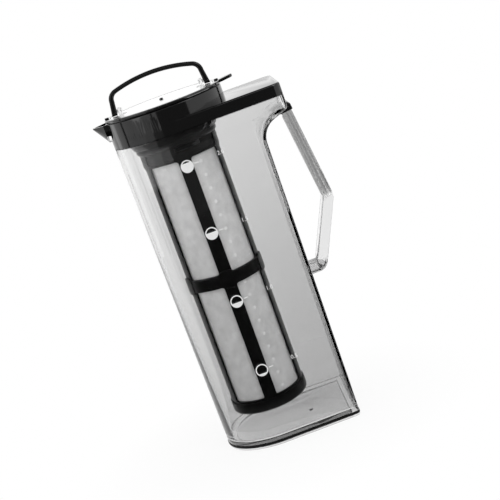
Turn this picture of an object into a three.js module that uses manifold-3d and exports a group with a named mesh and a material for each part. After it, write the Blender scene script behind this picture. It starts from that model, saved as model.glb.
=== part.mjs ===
// Iced tea maker: a tall clear jug with a flat back, a bent handle, a pour cover with a
// round collar and beak, and a turning lid with a bail that carries a mesh infuser.
// Millimetres, +Z up. The lid's axis is vertical, the beak points to -X, the handle to +X.
import * as THREE from 'three';
import { mergeVertices } from 'three/addons/utils/BufferGeometryUtils.js';
import Module from 'manifold-3d';

const wasm = await Module();
wasm.setup();

// Driving dimensions of the whole object
const rimTop = 267;            // top edge of the jug wall, above the surface it stands on
const mouthRadius = 47.8;      // outer radius of the jug's round front at the rim
const footDraw = 2.7;          // how much that radius draws in from the rim to the foot
const footBack = 64.1;         // lid axis to the back wall, at the foot
const wall = 2.8;              // jug wall
const gap = 0.3;               // left between pieces that seat on each other
const overrun = 4;             // how far a cutting solid runs past the face that it cuts

// Jug
const footRadius = mouthRadius - footDraw;
const footTaper = 1.9;         // how much narrower the jug is at its back, at the foot
const mouthTaper = 2.7;        // the same at the rim
const footHalfWidth = footRadius - footTaper;
const mouthHalfWidth = mouthRadius - mouthTaper;
const backLean = 1.5;          // how much the back wall leans out up to the shelf
const shoulderBack = footBack + backLean;
const shelfReach = 24;         // shelf that carries the handle, from the back wall to its end
const mouthBack = shoulderBack + shelfReach;
const footCorner = 4;          // radius of the back corners at the foot
const mouthCorner = 8;         // radius of the back corners at the rim
const shelfCorner = 15;        // radius of the back corners along the shelf's underside
const shelfDepth = 37.5;       // rim down to where the back wall starts to curve out
const shelfStart = rimTop - shelfDepth;
const shelfSweep = 16;         // radius of that hollow curve
const shelfEndRound = 3.4;     // radius where the shelf's underside turns up its end wall
const shelfRise = 18;          // degrees that the shelf's underside climbs
const floorThickness = 6;      // floor of the jug
const floorFillet = 3;         // radius between the floor and the walls inside
const footChamfer = 0.8;       // bevel of the foot's lower edge
const footRimWidth = 5;        // flat rim that the jug stands on
const footRecess = 1.2;        // hollow of the underside within that rim
const bandGrooveLow = 1.4;     // lower edge of the groove round the foot
const bandGrooveHeight = 2.6;  // height of that groove
const bandGrooveDepth = 1.4;   // depth of that groove
const bandProud = 0.25;        // how far the foot band stands out of the wall

// Handle
const barThickness = 8.4;      // handle bar, seen from the side
const barWidth = 20;           // handle bar, seen from behind
const barBevel = 1.6;          // bevel along the bar's edges
const gripSetback = 0.9;       // grip's centre line short of the shelf's end, where they meet
const gripTopX = mouthBack - gripSetback;
const gripDrop = 2.4;          // top of the grip under the shelf's end
const elbowOut = 10.1;         // how far the grip leans out down to the elbow
const elbowX = gripTopX + elbowOut;
const elbowZ = 169;
const elbowFlat = 3.7;         // upright facet of the elbow, out from the centre line
const elbowReach = elbowX + elbowFlat;
const heelReach = 10.1;        // centre line at the lower corner, from the back wall
const heelX = shoulderBack + heelReach;
const heelZ = 117.4;
const heelBend = 4.8;          // radius of the centre line's bend there
const bossHeight = 3.6;        // black cap over the top of the grip, under the shelf's end
const bossRise = 5;            // how far that cap climbs the shelf's end wall
const bossTipRise = 1.2;       // its outermost edge above the shelf's end
const bossDrop = 1.3;          // how much lower its inner side reaches
const bossProud = 1.2;         // how far it stands out of the bar
const lugThickness = 8;        // jug lug that the handle's fork straddles
const pinRadius = 1.6;         // cross pin through the fork and the lug
const pinSetback = 1.2;         // centre of the pin inside the lower corner
const pinX = heelX - pinSetback;
const pinHeadRecess = 0.4;     // the pin stops this far inside the fork's faces

// Pour cover
const deckRise = 4;            // top face of the flat deck above the jug's rim
const coverTop = rimTop + deckRise;
const collarRise = 11;         // top edge of the round collar above the deck
const collarTop = coverTop + collarRise;
const collarWall = 2.6;        // thickness of the collar
const collarInner = mouthRadius - collarWall;
const deckThickness = 2.4;     // plate of the deck, and the collar's floor
const deckChamfer = 1.4;       // bevel of the deck's upper edge
const collarFloorTop = coverTop - deckThickness;
const skirtDepth = 6;          // how far the skirt goes down inside the jug's mouth
const skirtBottom = rimTop - skirtDepth;
const skirtWall = 2.8;         // thickness of that skirt
const skirtSlack = 0.6;        // play between the skirt and the jug wall
const gasketHeight = 2.4;      // silicone gasket round the skirt
const gasketDepth = 1.4;       // its radial thickness
const gasketLift = 1.6;        // lower edge of its groove above the skirt's edge
const gasketLow = skirtBottom + gasketLift;
const strainerCount = 9;       // slots in the collar's floor behind the beak
const strainerLength = 4.8;    // length of one slot
const strainerWidth = 2.8;     // width of one slot
const strainerPitch = 12;      // degrees from one slot to the next
const strainerMargin = 1.6;    // floor left at each end of a slot
const strainerOuter = collarInner - skirtSlack - strainerMargin;
const tubeOuter = strainerOuter - strainerLength - strainerMargin;
const tubeWall = 2.2;          // tube that the infuser passes through
const boreRadius = tubeOuter - tubeWall;
const tubeDrop = 7;            // lower end of that tube under the skirt's edge
const tubeBottom = skirtBottom - tubeDrop;
const tubeTaper = 1.7;         // how much its lower end draws in
const beakReach = 10.7;        // tip of the beak, out from the collar
const beakTipX = -mouthRadius - beakReach;
const beakTipHalf = 2.2;       // half width at the tip
const beakRootHalf = 13;       // half width where the beak leaves the collar
const beakLip = 1.1;           // depth of the beak at its tip
const beakWall = 1.6;          // thickness of the beak
const beakHeel = 1.8;          // how far the beak's underside runs out level
const beakHullShare = 0.6;     // fullness of the beak's underside, 1 for an ellipse
const portHeight = 6.6;        // pour port through the collar, behind the beak

// Infuser
const infuserBottom = 24.8;    // lower face of the infuser
const neckDrop = 5;            // rim down to the top edge of the infuser's neck
const neckTop = rimTop - neckDrop;
const borePlay = 1.1;          // play of the neck's thicker ring in the cover's bore
const collarRingOuter = boreRadius - borePlay;
const collarRingProud = 1.5;   // how far that ring stands out of the neck
const collarRingDrop = 12.6;   // its lower edge under the neck's top
const collarRingLow = neckTop - collarRingDrop;
const collarRingHeight = 6.2;
const neckOuter = collarRingOuter - collarRingProud;
const neckWall = 1.9;
const neckInner = neckOuter - neckWall;
const cageStep = 0.8;          // how far the ribs lie inside the neck's outer face
const cageOuter = neckOuter - cageStep;
const cageWall = 2;
const cageInner = cageOuter - cageWall;
const ribCount = 5;
const ribWidth = 10.4;
const ribTurn = -87.5;         // degrees to the first rib, which faces the viewer
const windowDrop = 23.4;       // neck's top down to the upper edge of the mesh windows
const windowTop = neckTop - windowDrop;
const windowCorner = 2;        // radius of the window corners
const midRingLow = 132.6;      // ring half way down
const midRingHeight = 10.4;
const midRingProud = 0.9;      // how far it stands out of the ribs
const midRingOuter = cageOuter + midRingProud;
const padHeight = 15;          // rounded pad where a rib crosses that ring
const padWidth = 13;
const padProud = 0.5;
const footRingHeight = 9;      // ring at the bottom
const footRingProud = 1.1;     // how far it stands out of the ribs
const footRingOuter = cageOuter + footRingProud;
const footRingRound = 1.8;     // bevel of its lower edge
const windowSill = 1.6;        // the windows' lower edge above that ring
const windowBottom = infuserBottom + footRingHeight + windowSill;
const panelRecess = 1;         // recess of the neck between the ribs
const baseLip = 3;             // inward lip that carries the base mesh
const baseLipThickness = 1.6;
const meshThickness = 0.6;
const seamWidth = 7;           // lap of the rolled mesh where its ends are tacked
const seamTurn = 29.5;         // degrees from the first rib to the seam
const clampHeight = 2.2;       // ring that holds the base mesh down
const clampWidth = 2.6;

// Lid
const lidPlay = 0.4;           // lid disc above the collar's top edge
const discThickness = 2.6;     // lid disc
const lidTop = collarTop + lidPlay + discThickness;
const discChamfer = 0.6;       // bevel of the disc's edges
const plateInset = 5.2;        // rim of the disc left round the steel plate
const plateRadius = mouthRadius - plateInset;
const plateThickness = 0.8;
const plugPlate = 2;           // top plate of the plug under the disc
const plugPlay = 0.6;          // play between the plug's skirt and the collar
const plugRadius = collarInner - plugPlay;
const plugWall = 2;            // thickness of the skirt
const plugSlack = 0.5;         // skirt's lower edge above the collar's floor
const plugTop = lidTop - discThickness - gap;
const pourWindowHalf = 14;     // half width of the window in the skirt
const sealHeight = 3;          // silicone ring round the plug
const sealThickness = 1.2;
const sealFlange = 1.5;        // edge of the plug left above the ring
const sealLow = plugTop - sealFlange - sealHeight - 2 * gap;
const stemPlay = 0.6;          // play between the plug's stem and the infuser's neck
const stemRadius = neckInner - stemPlay;
const stemWall = 2;
const stemReach = 18.5;        // how far the stem goes down into the neck
const stemBottom = neckTop - stemReach;
const lockLugWidth = 7;        // lugs on the stem, which the infuser's slots turn onto
const lockLugHeight = 2.2;
const lockLugReach = 1.4;
const lockLugRise = 2.9;       // lower face of the lugs above the stem's lower end
const lockLugZ = stemBottom + lockLugRise;
const lockSlack = 0.4;         // play round a lug in its slot
const lockTurn = 26;           // degrees that the infuser turns to unlock
const lockCount = 3;
const lockStart = -62;         // degrees to the first lug
const tabLength = 10.8;        // turning tab, out from the disc
const tabReach = mouthRadius + tabLength;
const tabRootHalf = 5;         // half width of the tab at the disc
const tabTipHalf = 4;          // half width at its tip
const tabThickness = 2.4;
const tabRise = 1.4;           // how much the tip stands above the root
const nubInset = 2.2;          // position mark on the disc's rim, in from its edge
const nubX = mouthRadius - nubInset;
const nubLength = 4.2;
const nubWidth = 3;
const nubHeight = 1.3;
const studRadius = 1.7;        // rivet head at the disc's centre
const studCrown = 1;           // radius of the flat on top of that head
const studHead = 1.4;          // height of that head
const studShank = 1;           // radius of its shank
const studDepth = 2;           // how far the shank goes in

// Bail
const bailRise = 25;           // crown of the bail above the lid
const bailTop = lidTop + bailRise;
const bailWidth = 6.4;         // its width across the strap
const bailBevel = 1.1;         // bevel of the strap's edges
const bailCrown = 3.5;         // thickness at the crown
const bailLeg = 4.6;           // thickness of the legs
const bailInset = 1.6;         // outer face of a leg's foot, in from the plate's edge
const bailFootOuter = plateRadius - bailInset;
const bailSplay = 1.8;         // how far a leg leans in up to the shoulder
const bailShoulderOuter = bailFootOuter - bailSplay;
const bailArch = 115;          // radius of the arched crown
const bailRound = 9;           // radius of the shoulders
const bailLift = 3.5;          // pivot above the lid's top face
const earThickness = 1.8;      // bracket ear inside each leg
const earHalfWidth = 3;
const earRise = 2.4;           // top of the ear above the pivot
const bracketFoot = 3.4;       // foot of the bracket, inwards from its ear
const bracketHalfWidth = 4.6;
const bracketThickness = 1.2;
const bailPinRadius = 1.2;
const bailPinHead = 2;         // radius of the pin's head
const bailPinHeadLength = 0.9;
const bailPinBite = 3.2;       // how far the pin goes into the leg

// Facets
const roundSteps = 40;         // facets of a full turn on the large rounds
const infuserSteps = 35;       // facets of a full turn on the infuser, alike in every bay
const smallSteps = 14;         // facets of a full turn on pins and studs
const frontSteps = 24;         // facets round the jug's front
const cornerSteps = 4;         // facets of each back corner
const sweepSteps = 4;          // facets of the shelf's curves
const archSteps = 12;          // facets of the bail's crown
const windowSteps = 2;         // facets of each window corner

const halfTurn = Math.PI;
const fullTurn = 2 * Math.PI;
const degrees = (value) => THREE.MathUtils.degToRad(value);
const mix = THREE.MathUtils.lerp;

// A closed geometry becomes a solid: vertices merged, flat triangles dropped, faces out.
function solid(geometry) {
  const bare = geometry.index ? geometry.toNonIndexed() : geometry;
  bare.deleteAttribute('normal');
  bare.deleteAttribute('uv');
  const merged = mergeVertices(bare);
  const place = merged.attributes.position.array;
  const corners = merged.index.array;
  const kept = [];
  let volume = 0;
  for (let i = 0; i < corners.length; i += 3) {
    const [a, b, c] = [corners[i], corners[i + 1], corners[i + 2]];
    if (a === b || b === c || c === a) continue;
    kept.push([a, b, c]);
    const [pa, pb, pc] = [a, b, c].map((k) => new THREE.Vector3().fromArray(place, 3 * k));
    volume += pa.dot(pb.cross(pc));
  }
  const faces = kept.flatMap(([a, b, c]) => (volume > 0 ? [a, b, c] : [a, c, b]));
  return new wasm.Manifold(new wasm.Mesh({
    numProp: 3,
    vertProperties: new Float32Array(place),
    triVerts: new Uint32Array(faces),
  }));
}

const join = (...solids) => solids.reduce((sum, next) => sum.add(next));

// Revolved solid from a closed outline of [radius, height] points.
function revolve(outline, steps = roundSteps) {
  const points = outline.map(([r, z]) => new THREE.Vector2(r, z));
  if (outline.every(([r]) => r > 0)) points.push(points[0].clone());
  const turned = new THREE.LatheGeometry(points, steps);
  turned.rotateX(halfTurn / 2);
  return solid(turned);
}

const tube = (inner, outer, low, high, steps) =>
  revolve([[inner, low], [outer, low], [outer, high], [inner, high]], steps);

const drum = (radius, low, high, steps) =>
  revolve([[0, low], [radius, low], [radius, high], [0, high]], steps);

// Prism of an outline in the plane of X and Z, centred on Y, with bevelled long edges.
function sideProfile(outline, width, bevel = 0) {
  const shape = new THREE.Shape(outline.map(([x, z]) => new THREE.Vector2(x, z)));
  const prism = new THREE.ExtrudeGeometry(shape, {
    depth: width - 2 * bevel,
    bevelEnabled: bevel > 0,
    bevelSegments: 1,
    bevelThickness: bevel,
    bevelSize: bevel,
    bevelOffset: -bevel,
  });
  prism.translate(0, 0, bevel - width / 2);
  prism.rotateX(halfTurn / 2);
  return solid(prism);
}

// Prism of an outline in the plane of X and Y.
function planProfile(outline, low, high) {
  const shape = new THREE.Shape(outline.map(([x, y]) => new THREE.Vector2(x, y)));
  const prism = new THREE.ExtrudeGeometry(shape, { depth: high - low, bevelEnabled: false });
  prism.translate(0, 0, low);
  return solid(prism);
}

function block(lowX, highX, lowY, highY, lowZ, highZ) {
  const box = new THREE.BoxGeometry(highX - lowX, highY - lowY, highZ - lowZ);
  box.translate((lowX + highX) / 2, (lowY + highY) / 2, (lowZ + highZ) / 2);
  return solid(box);
}

// Round bar along X or along Y.
function bar(radius, from, to, axis, across, height) {
  const round = new THREE.CylinderGeometry(radius, radius, to - from, smallSteps);
  round.translate(0, (from + to) / 2, 0);
  if (axis === 'x') round.rotateZ(-halfTurn / 2);
  if (axis === 'x') round.translate(0, across, height);
  if (axis === 'y') round.translate(across, 0, height);
  return solid(round);
}

// Solid through a row of rings, each a list of [x, y, z] with the same count of points.
function loft(rings) {
  const count = rings[0].length;
  const points = rings.flat();
  const faces = [];
  for (let level = 0; level + 1 < rings.length; level += 1) {
    for (let i = 0; i < count; i += 1) {
      const next = (i + 1) % count;
      const [a, b] = [level * count + i, level * count + next];
      const [c, d] = [a + count, b + count];
      faces.push(a, b, d, a, d, c);
    }
  }
  for (const [first, flip] of [[0, true], [(rings.length - 1) * count, false]]) {
    const ring = points.slice(first, first + count);
    const middle = [0, 1, 2].map((k) => ring.reduce((sum, p) => sum + p[k], 0) / count);
    points.push(middle);
    for (let i = 0; i < count; i += 1) {
      const [a, b] = [first + i, first + ((i + 1) % count)];
      faces.push(points.length - 1, flip ? b : a, flip ? a : b);
    }
  }
  const skin = new THREE.BufferGeometry();
  skin.setAttribute('position', new THREE.Float32BufferAttribute(points.flat(), 3));
  skin.setIndex(faces);
  return solid(skin);
}

// The jug's plan: a round front joined by tangent sides to a back with two rounded corners.
function plan({ front, back, half, corner }, inset = 0) {
  const radius = front - inset;
  const round = Math.max(corner - inset, gap);
  const centreX = back - inset - round;
  const centreY = half - inset - round;
  const tangent = Math.atan2(centreY, centreX)
    + Math.acos((radius - round) / Math.hypot(centreX, centreY));
  const points = [];
  const arc = (x, y, r, from, to, steps) => {
    for (let i = 0; i <= steps; i += 1) {
      const angle = mix(from, to, i / steps);
      points.push([x + r * Math.cos(angle), y + r * Math.sin(angle)]);
    }
  };
  arc(centreX, centreY, round, 0, tangent, cornerSteps);
  arc(0, 0, radius, tangent, fullTurn - tangent, frontSteps);
  arc(centreX, -centreY, round, fullTurn - tangent, fullTurn, cornerSteps);
  return points;
}

const lean = (z) => z / rimTop;
const wallBack = (z) => mix(footBack, shoulderBack, z / shelfStart);
const planAt = (z, back, corner) => ({
  front: mix(footRadius, mouthRadius, lean(z)),
  half: mix(footHalfWidth, mouthHalfWidth, lean(z)),
  back,
  corner,
});
const mouthPlan = planAt(rimTop, mouthBack, mouthCorner);

// Where the back of the jug runs, from the foot to the rim, moved inwards by inset.
function backLine(inset, low) {
  const rise = degrees(shelfRise);
  const turnX = shoulderBack + shelfSweep;
  const sweep = shelfSweep + inset;
  const round = shelfEndRound - inset;
  const endX = turnX - shelfSweep * Math.sin(rise);
  const endZ = shelfStart + shelfSweep * Math.cos(rise);
  const kneeX = mouthBack - shelfEndRound;
  const along = (kneeX + shelfEndRound * Math.sin(rise) - endX) / Math.cos(rise);
  const kneeZ = endZ + along * Math.sin(rise) + shelfEndRound * Math.cos(rise);
  const line = [{ z: low, back: wallBack(low) - inset, corner: footCorner }];
  for (let i = 0; i <= sweepSteps; i += 1) {
    const angle = mix(0, halfTurn / 2 - rise, i / sweepSteps);
    const back = turnX - sweep * Math.cos(angle);
    const corner = mix(footCorner, shelfCorner, (back + inset - shoulderBack) / (mouthBack - shoulderBack));
    line.push({ z: shelfStart + sweep * Math.sin(angle), back, corner });
  }
  for (let i = 0; i <= sweepSteps; i += 1) {
    const angle = mix(rise - halfTurn / 2, 0, i / sweepSteps);
    line.push({
      z: kneeZ + round * Math.sin(angle),
      back: kneeX + round * Math.cos(angle),
      corner: mix(shelfCorner, mouthCorner, i / sweepSteps),
    });
  }
  line.push({ z: rimTop, back: mouthBack - inset, corner: mouthCorner });
  return line;
}

function jugEnvelope(inset, low, lowInset) {
  const line = backLine(inset, low);
  const ring = ({ z, back, corner }, more = 0) =>
    plan(planAt(z, back + inset, corner), inset + more).map(([x, y]) => [x, y, z]);
  const first = line[0];
  const second = { ...first, z: low + lowInset, back: wallBack(low + lowInset) - inset };
  const top = line[line.length - 1];
  const above = { ...top, z: rimTop + (inset === 0 ? 0 : overrun) };
  const rings = [ring(first, lowInset), ring(second), ...line.slice(1, -1).map((at) => ring(at))];
  return loft([...rings, ring(above)]);
}

const ringOfPlan = (outer, inner, low, high) =>
  planProfile(plan(mouthPlan, outer), low, high)
    .subtract(planProfile(plan(mouthPlan, inner), low - overrun, high + overrun));

// Groove or band that follows the foot of the jug.
function footRing(outer, inner, low, high) {
  const at = planAt(low, wallBack(low), footCorner);
  return planProfile(plan(at, outer), low, high)
    .subtract(planProfile(plan(at, inner), low - overrun, high + overrun));
}

function jugShell() {
  const lugHalf = barThickness / 2;
  const lugProfile = [[wallBack(heelZ) - wall / 2, heelZ - lugHalf]];
  for (let i = 0; i <= sweepSteps; i += 1) {
    const angle = mix(-halfTurn / 2, halfTurn / 2, i / sweepSteps);
    lugProfile.push([pinX + lugHalf * Math.cos(angle), heelZ + lugHalf * Math.sin(angle)]);
  }
  lugProfile.push([wallBack(heelZ) - wall / 2, heelZ + lugHalf]);
  const lug = sideProfile(lugProfile, lugThickness)
    .subtract(bar(pinRadius + gap, -barWidth, barWidth, 'y', pinX, heelZ));
  const groove = footRing(-overrun, bandGrooveDepth, bandGrooveLow, bandGrooveLow + bandGrooveHeight);
  const footPlan = planAt(0, footBack, footCorner);
  const hollow = loft([
    plan(footPlan, footRimWidth).map(([x, y]) => [x, y, -footRecess]),
    plan(footPlan, footRimWidth + 2 * footRecess).map(([x, y]) => [x, y, footRecess]),
  ]);
  return jugEnvelope(0, 0, footChamfer)
    .subtract(jugEnvelope(wall, floorThickness, floorFillet))
    .subtract(groove)
    .subtract(hollow)
    .add(lug);
}

const footBand = () => footRing(
  -bandProud,
  bandGrooveDepth - gap,
  bandGrooveLow + gap,
  bandGrooveLow + bandGrooveHeight - gap,
);

// Centre line of the grip, from the shelf down to the elbow.
const gripX = (z) => mix(elbowX, gripTopX, (z - elbowZ) / (shelfEndLow() - elbowZ));
const shelfEndLow = () => backLine(0, 0).find(({ back }) => back > mouthBack - shelfEndRound).z;

// Points of an arc of that radius that touches both legs of a corner.
function bend(before, corner, after, radius) {
  const [a, b, c] = [before, corner, after].map(([x, z]) => new THREE.Vector2(x, z));
  const legs = [a.sub(b).normalize(), c.sub(b).normalize()];
  const half = Math.acos(legs[0].dot(legs[1])) / 2;
  const middle = legs[0].clone().add(legs[1]).setLength(radius / Math.sin(half)).add(b);
  const [start, end] = legs.map((leg) => leg.clone().setLength(radius / Math.tan(half)).add(b));
  return Array.from({ length: sweepSteps + 1 }, (_, i) => {
    const at = start.clone().lerp(end, i / sweepSteps).sub(middle).setLength(radius).add(middle);
    return [at.x, at.y];
  });
}

// Both sides of a bent bar, mitred at its corners, as one outline.
function barOutline(centre, thickness) {
  const side = (sign) => centre.map((at, i) => {
    const before = centre[Math.max(i - 1, 0)];
    const after = centre[Math.min(i + 1, centre.length - 1)];
    const inwards = new THREE.Vector2(at[0] - before[0], at[1] - before[1]).normalize();
    const outwards = new THREE.Vector2(after[0] - at[0], after[1] - at[1]).normalize();
    const along = inwards.clone().add(outwards).normalize();
    const straight = inwards.lengthSq() > 0 ? inwards : outwards;
    const reach = (sign * thickness) / 2 / along.dot(straight);
    return [at[0] - along.y * reach, at[1] + along.x * reach];
  });
  return [...side(1), ...side(-1).reverse()];
}

function handle() {
  const half = barThickness / 2;
  const top = shelfEndLow() - gripDrop;
  const elbow = [elbowX, elbowZ];
  const foot = [wallBack(heelZ) + gap, heelZ];
  const centre = [[gripX(top), top], elbow, ...bend(elbow, [heelX, heelZ], foot, heelBend), foot];
  const lugRoom = lugThickness / 2 + gap;
  const fork = block(
    wallBack(heelZ) - overrun,
    heelX + barThickness,
    -lugRoom,
    lugRoom,
    heelZ - barThickness,
    heelZ + half + gap,
  );
  const tip = block(
    elbowReach,
    elbowReach + barThickness,
    -barWidth,
    barWidth,
    elbowZ - barThickness,
    elbowZ + barThickness,
  );
  return sideProfile(barOutline(centre, barThickness), barWidth, barBevel)
    .subtract(tip)
    .subtract(jugEnvelope(-gap, 0, footChamfer))
    .subtract(fork)
    .subtract(bar(pinRadius + gap, -barWidth, barWidth, 'y', pinX, heelZ));
}

function handleBoss() {
  const high = shelfEndLow();
  const low = high - bossHeight;
  const half = barThickness / 2;
  const top = high + bossRise;
  const outside = half + bossProud;
  const tip = high + bossTipRise;
  const cap = sideProfile([
    [gripX(low) - outside, low - bossDrop],
    [gripX(low) + outside, low],
    [gripX(tip) + outside, tip],
    [mouthBack + gap, top],
    [mouthBack - shelfEndRound, top],
    [gripX(high) - outside, high],
  ], barWidth + 2 * bossProud, bossProud);
  const endRise = half * (elbowX - gripTopX) / (high - elbowZ);
  const pocketTop = high - gripDrop + endRise + gap;
  const pocketLow = low - bossDrop - overrun;
  const inside = half + gap;
  const pocket = sideProfile([
    [gripX(pocketLow) - inside, pocketLow],
    [gripX(pocketLow) + inside, pocketLow],
    [gripX(pocketTop) + inside, pocketTop],
    [gripX(pocketTop) - inside, pocketTop],
  ], barWidth + 2 * gap);
  return cap.subtract(pocket).subtract(jugEnvelope(-gap, 0, footChamfer));
}

const handlePin = () => bar(
  pinRadius,
  pinHeadRecess - barWidth / 2,
  barWidth / 2 - pinHeadRecess,
  'y',
  pinX,
  heelZ,
);

// Cross-sections of the beak, from inside the collar's wall out to the tip.
function beak(inset, lift) {
  const rootX = inset - collarInner;
  const heelOut = -(mouthRadius + beakHeel);
  const rootZ = rimTop + gap;
  const section = (x, half, low) => {
    const narrow = Math.max(half - inset, gap);
    const depth = collarTop - low - inset;
    const points = [];
    for (let i = 0; i <= cornerSteps * 2; i += 1) {
      const angle = mix(-halfTurn / 2, halfTurn / 2, i / (cornerSteps * 2));
      points.push([x, narrow * Math.sin(angle), collarTop - depth * Math.cos(angle) ** beakHullShare]);
    }
    return [...points, [x, narrow, collarTop + lift], [x, -narrow, collarTop + lift]];
  };
  return loft([
    section(rootX, beakRootHalf, rootZ),
    section(heelOut, beakRootHalf * (1 + beakHeel / beakTipX), rootZ),
    section(beakTipX + inset, beakTipHalf, collarTop - beakLip),
  ]);
}

function pourCover() {
  const rimSeat = rimTop + gap;
  const inner = collarInner;
  const floorLow = collarFloorTop - deckThickness;
  const skirtOuter = wall + skirtSlack;
  const skirtInner = skirtOuter + skirtWall;
  const deckPlan = (inset) => plan(mouthPlan, inset);
  const deck = loft([
    deckPlan(0).map(([x, y]) => [x, y, rimSeat]),
    deckPlan(0).map(([x, y]) => [x, y, coverTop - deckChamfer]),
    deckPlan(deckChamfer).map(([x, y]) => [x, y, coverTop]),
  ]).subtract(planProfile(deckPlan(skirtInner), rimSeat - overrun, coverTop - deckThickness));
  const skirt = ringOfPlan(skirtOuter, skirtInner, skirtBottom, coverTop - deckThickness)
    .subtract(ringOfPlan(0, skirtOuter + gasketDepth, gasketLow, gasketLow + gasketHeight + 2 * gap));
  const collar = tube(inner, mouthRadius, rimSeat, collarTop);
  const well = drum(inner, collarFloorTop, collarTop + overrun);
  const floor = drum(inner, floorLow, collarFloorTop)
    .intersect(planProfile(deckPlan(skirtOuter), floorLow - overrun, collarFloorTop + overrun));
  const bore = revolve([
    [boreRadius, tubeBottom],
    [tubeOuter - tubeTaper, tubeBottom],
    [tubeOuter, tubeBottom + 2 * tubeTaper],
    [tubeOuter, collarFloorTop],
    [boreRadius, collarFloorTop],
  ]);
  let cover = join(deck, skirt, floor, collar)
    .subtract(well)
    .add(bore)
    .add(beak(0, 0).subtract(drum(inner, rimTop, collarTop + overrun)))
    .subtract(drum(boreRadius, tubeBottom - overrun, collarTop + overrun))
    .subtract(beak(beakWall, overrun).subtract(drum(mouthRadius, 0, collarTop + overrun)));
  const portHalf = beakRootHalf - beakWall;
  cover = cover.subtract(block(
    -mouthRadius - beakHeel,
    -inner + overrun,
    -portHalf,
    portHalf,
    collarFloorTop,
    collarFloorTop + portHeight,
  ));
  const slot = block(
    tubeOuter + strainerMargin,
    strainerOuter,
    -strainerWidth / 2,
    strainerWidth / 2,
    floorLow - overrun,
    collarFloorTop + overrun,
  );
  for (let i = 0; i < strainerCount; i += 1) {
    const turn = 180 + (i - (strainerCount - 1) / 2) * strainerPitch;
    cover = cover.subtract(slot.rotate([0, 0, turn]));
  }
  return cover;
}

const coverGasket = () => ringOfPlan(
  wall + gap,
  wall + skirtSlack + gasketDepth - gap,
  gasketLow + gap,
  gasketLow + gap + gasketHeight,
);

// Heights of the lid's layers
const discLow = lidTop - discThickness;
const plateTop = lidTop;
const plateLow = plateTop - plateThickness;
const recessFloor = plateLow - gap;
const bailPivotZ = lidTop + bailLift;
const legInner = bailFootOuter - bailLeg;
const shoulderInner = bailShoulderOuter - (bailLeg + bailCrown) / 2;
const earOuter = shoulderInner - gap;

function lidDisc() {
  const edge = mouthRadius;
  const disc = revolve([
    [0, discLow],
    [edge - discChamfer, discLow],
    [edge, discLow + discChamfer],
    [edge, lidTop - discChamfer],
    [edge - discChamfer, lidTop],
    [plateRadius + gap, lidTop],
    [plateRadius + gap, recessFloor],
    [0, recessFloor],
  ]);
  const tabRoot = collarInner;
  const tabRing = (x, half, low) => [
    [x, -half, low],
    [x, half, low],
    [x, half, low + tabThickness],
    [x, -half, low + tabThickness],
  ];
  const tipRound = tabTipHalf / 2;
  const tipLow = discLow + tabRise;
  const tab = loft([
    tabRing(tabRoot, tabRootHalf, discLow),
    tabRing(tabReach - tipRound, tabTipHalf, mix(discLow, tipLow, 1 - tipRound / (tabReach - tabRoot))),
    tabRing(tabReach, tabTipHalf - tipRound, tipLow),
  ]);
  const nub = (side) => sideProfile([
    [side * nubX - nubLength / 2, lidTop - nubHeight],
    [side * nubX + nubLength / 2, lidTop - nubHeight],
    [side * nubX + nubLength / 2 - nubHeight / 2, lidTop + nubHeight],
    [side * nubX - nubLength / 2 + nubHeight / 2, lidTop + nubHeight],
  ], nubWidth).intersect(drum(mouthRadius - discChamfer, discLow, lidTop + overrun));
  return join(disc, tab.subtract(drum(plateRadius + gap, recessFloor, lidTop + overrun)), nub(-1), nub(1))
    .subtract(drum(studShank + gap, lidTop - plateThickness - gap - studDepth / 2, lidTop, smallSteps));
}

// The openings in the plate where the bail brackets stand on the disc.
const bracketRoom = (side, more) => {
  const ends = [earOuter - earThickness - bracketFoot - more, earOuter + more].map((x) => side * x);
  return block(
    Math.min(...ends),
    Math.max(...ends),
    -bracketHalfWidth - more,
    bracketHalfWidth + more,
    recessFloor + gap - more,
    recessFloor + gap + bracketThickness + more,
  );
};

const lidPlate = () => drum(plateRadius, plateLow, plateTop)
  .subtract(drum(studShank + gap, plateLow - overrun, plateTop + overrun, smallSteps))
  .subtract(bracketRoom(-1, gap))
  .subtract(bracketRoom(1, gap));

const lidStud = () => revolve([
  [0, lidTop - plateThickness - studDepth / 2],
  [studShank, lidTop - plateThickness - studDepth / 2],
  [studShank, lidTop + gap],
  [studRadius, lidTop + gap],
  [studRadius, lidTop + gap + studHead / 2],
  [studCrown, lidTop + gap + studHead],
  [0, lidTop + gap + studHead],
], smallSteps);

function lidPlug() {
  const skirtLow = collarFloorTop + plugSlack;
  const skirt = tube(plugRadius - plugWall, plugRadius, skirtLow, plugTop);
  const plate = drum(plugRadius, plugTop - plugPlate, plugTop);
  const stem = tube(stemRadius - stemWall, stemRadius, stemBottom, plugTop);
  const grooveFloor = plugRadius - sealThickness;
  const groove = tube(grooveFloor, plugRadius + overrun, sealLow, sealLow + sealHeight + 2 * gap);
  const backing = tube(grooveFloor - plugWall, plugRadius, sealLow - plugWall, plugTop);
  const window = block(
    -plugRadius - overrun,
    -stemRadius - plugWall,
    -pourWindowHalf,
    pourWindowHalf,
    skirtLow - overrun,
    sealLow - plugWall,
  );
  let plug = join(skirt, backing, plate).subtract(window).subtract(groove).add(stem);
  const lug = block(
    stemRadius - stemWall / 2,
    stemRadius + lockLugReach,
    -lockLugWidth / 2,
    lockLugWidth / 2,
    lockLugZ,
    lockLugZ + lockLugHeight,
  );
  for (let i = 0; i < lockCount; i += 1) {
    plug = plug.add(lug.rotate([0, 0, lockStart + (i * 360) / lockCount]));
  }
  return plug;
}

const lidSeal = () => tube(
  plugRadius - sealThickness + gap,
  collarInner - gap,
  sealLow + gap,
  sealLow + gap + sealHeight,
);

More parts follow.
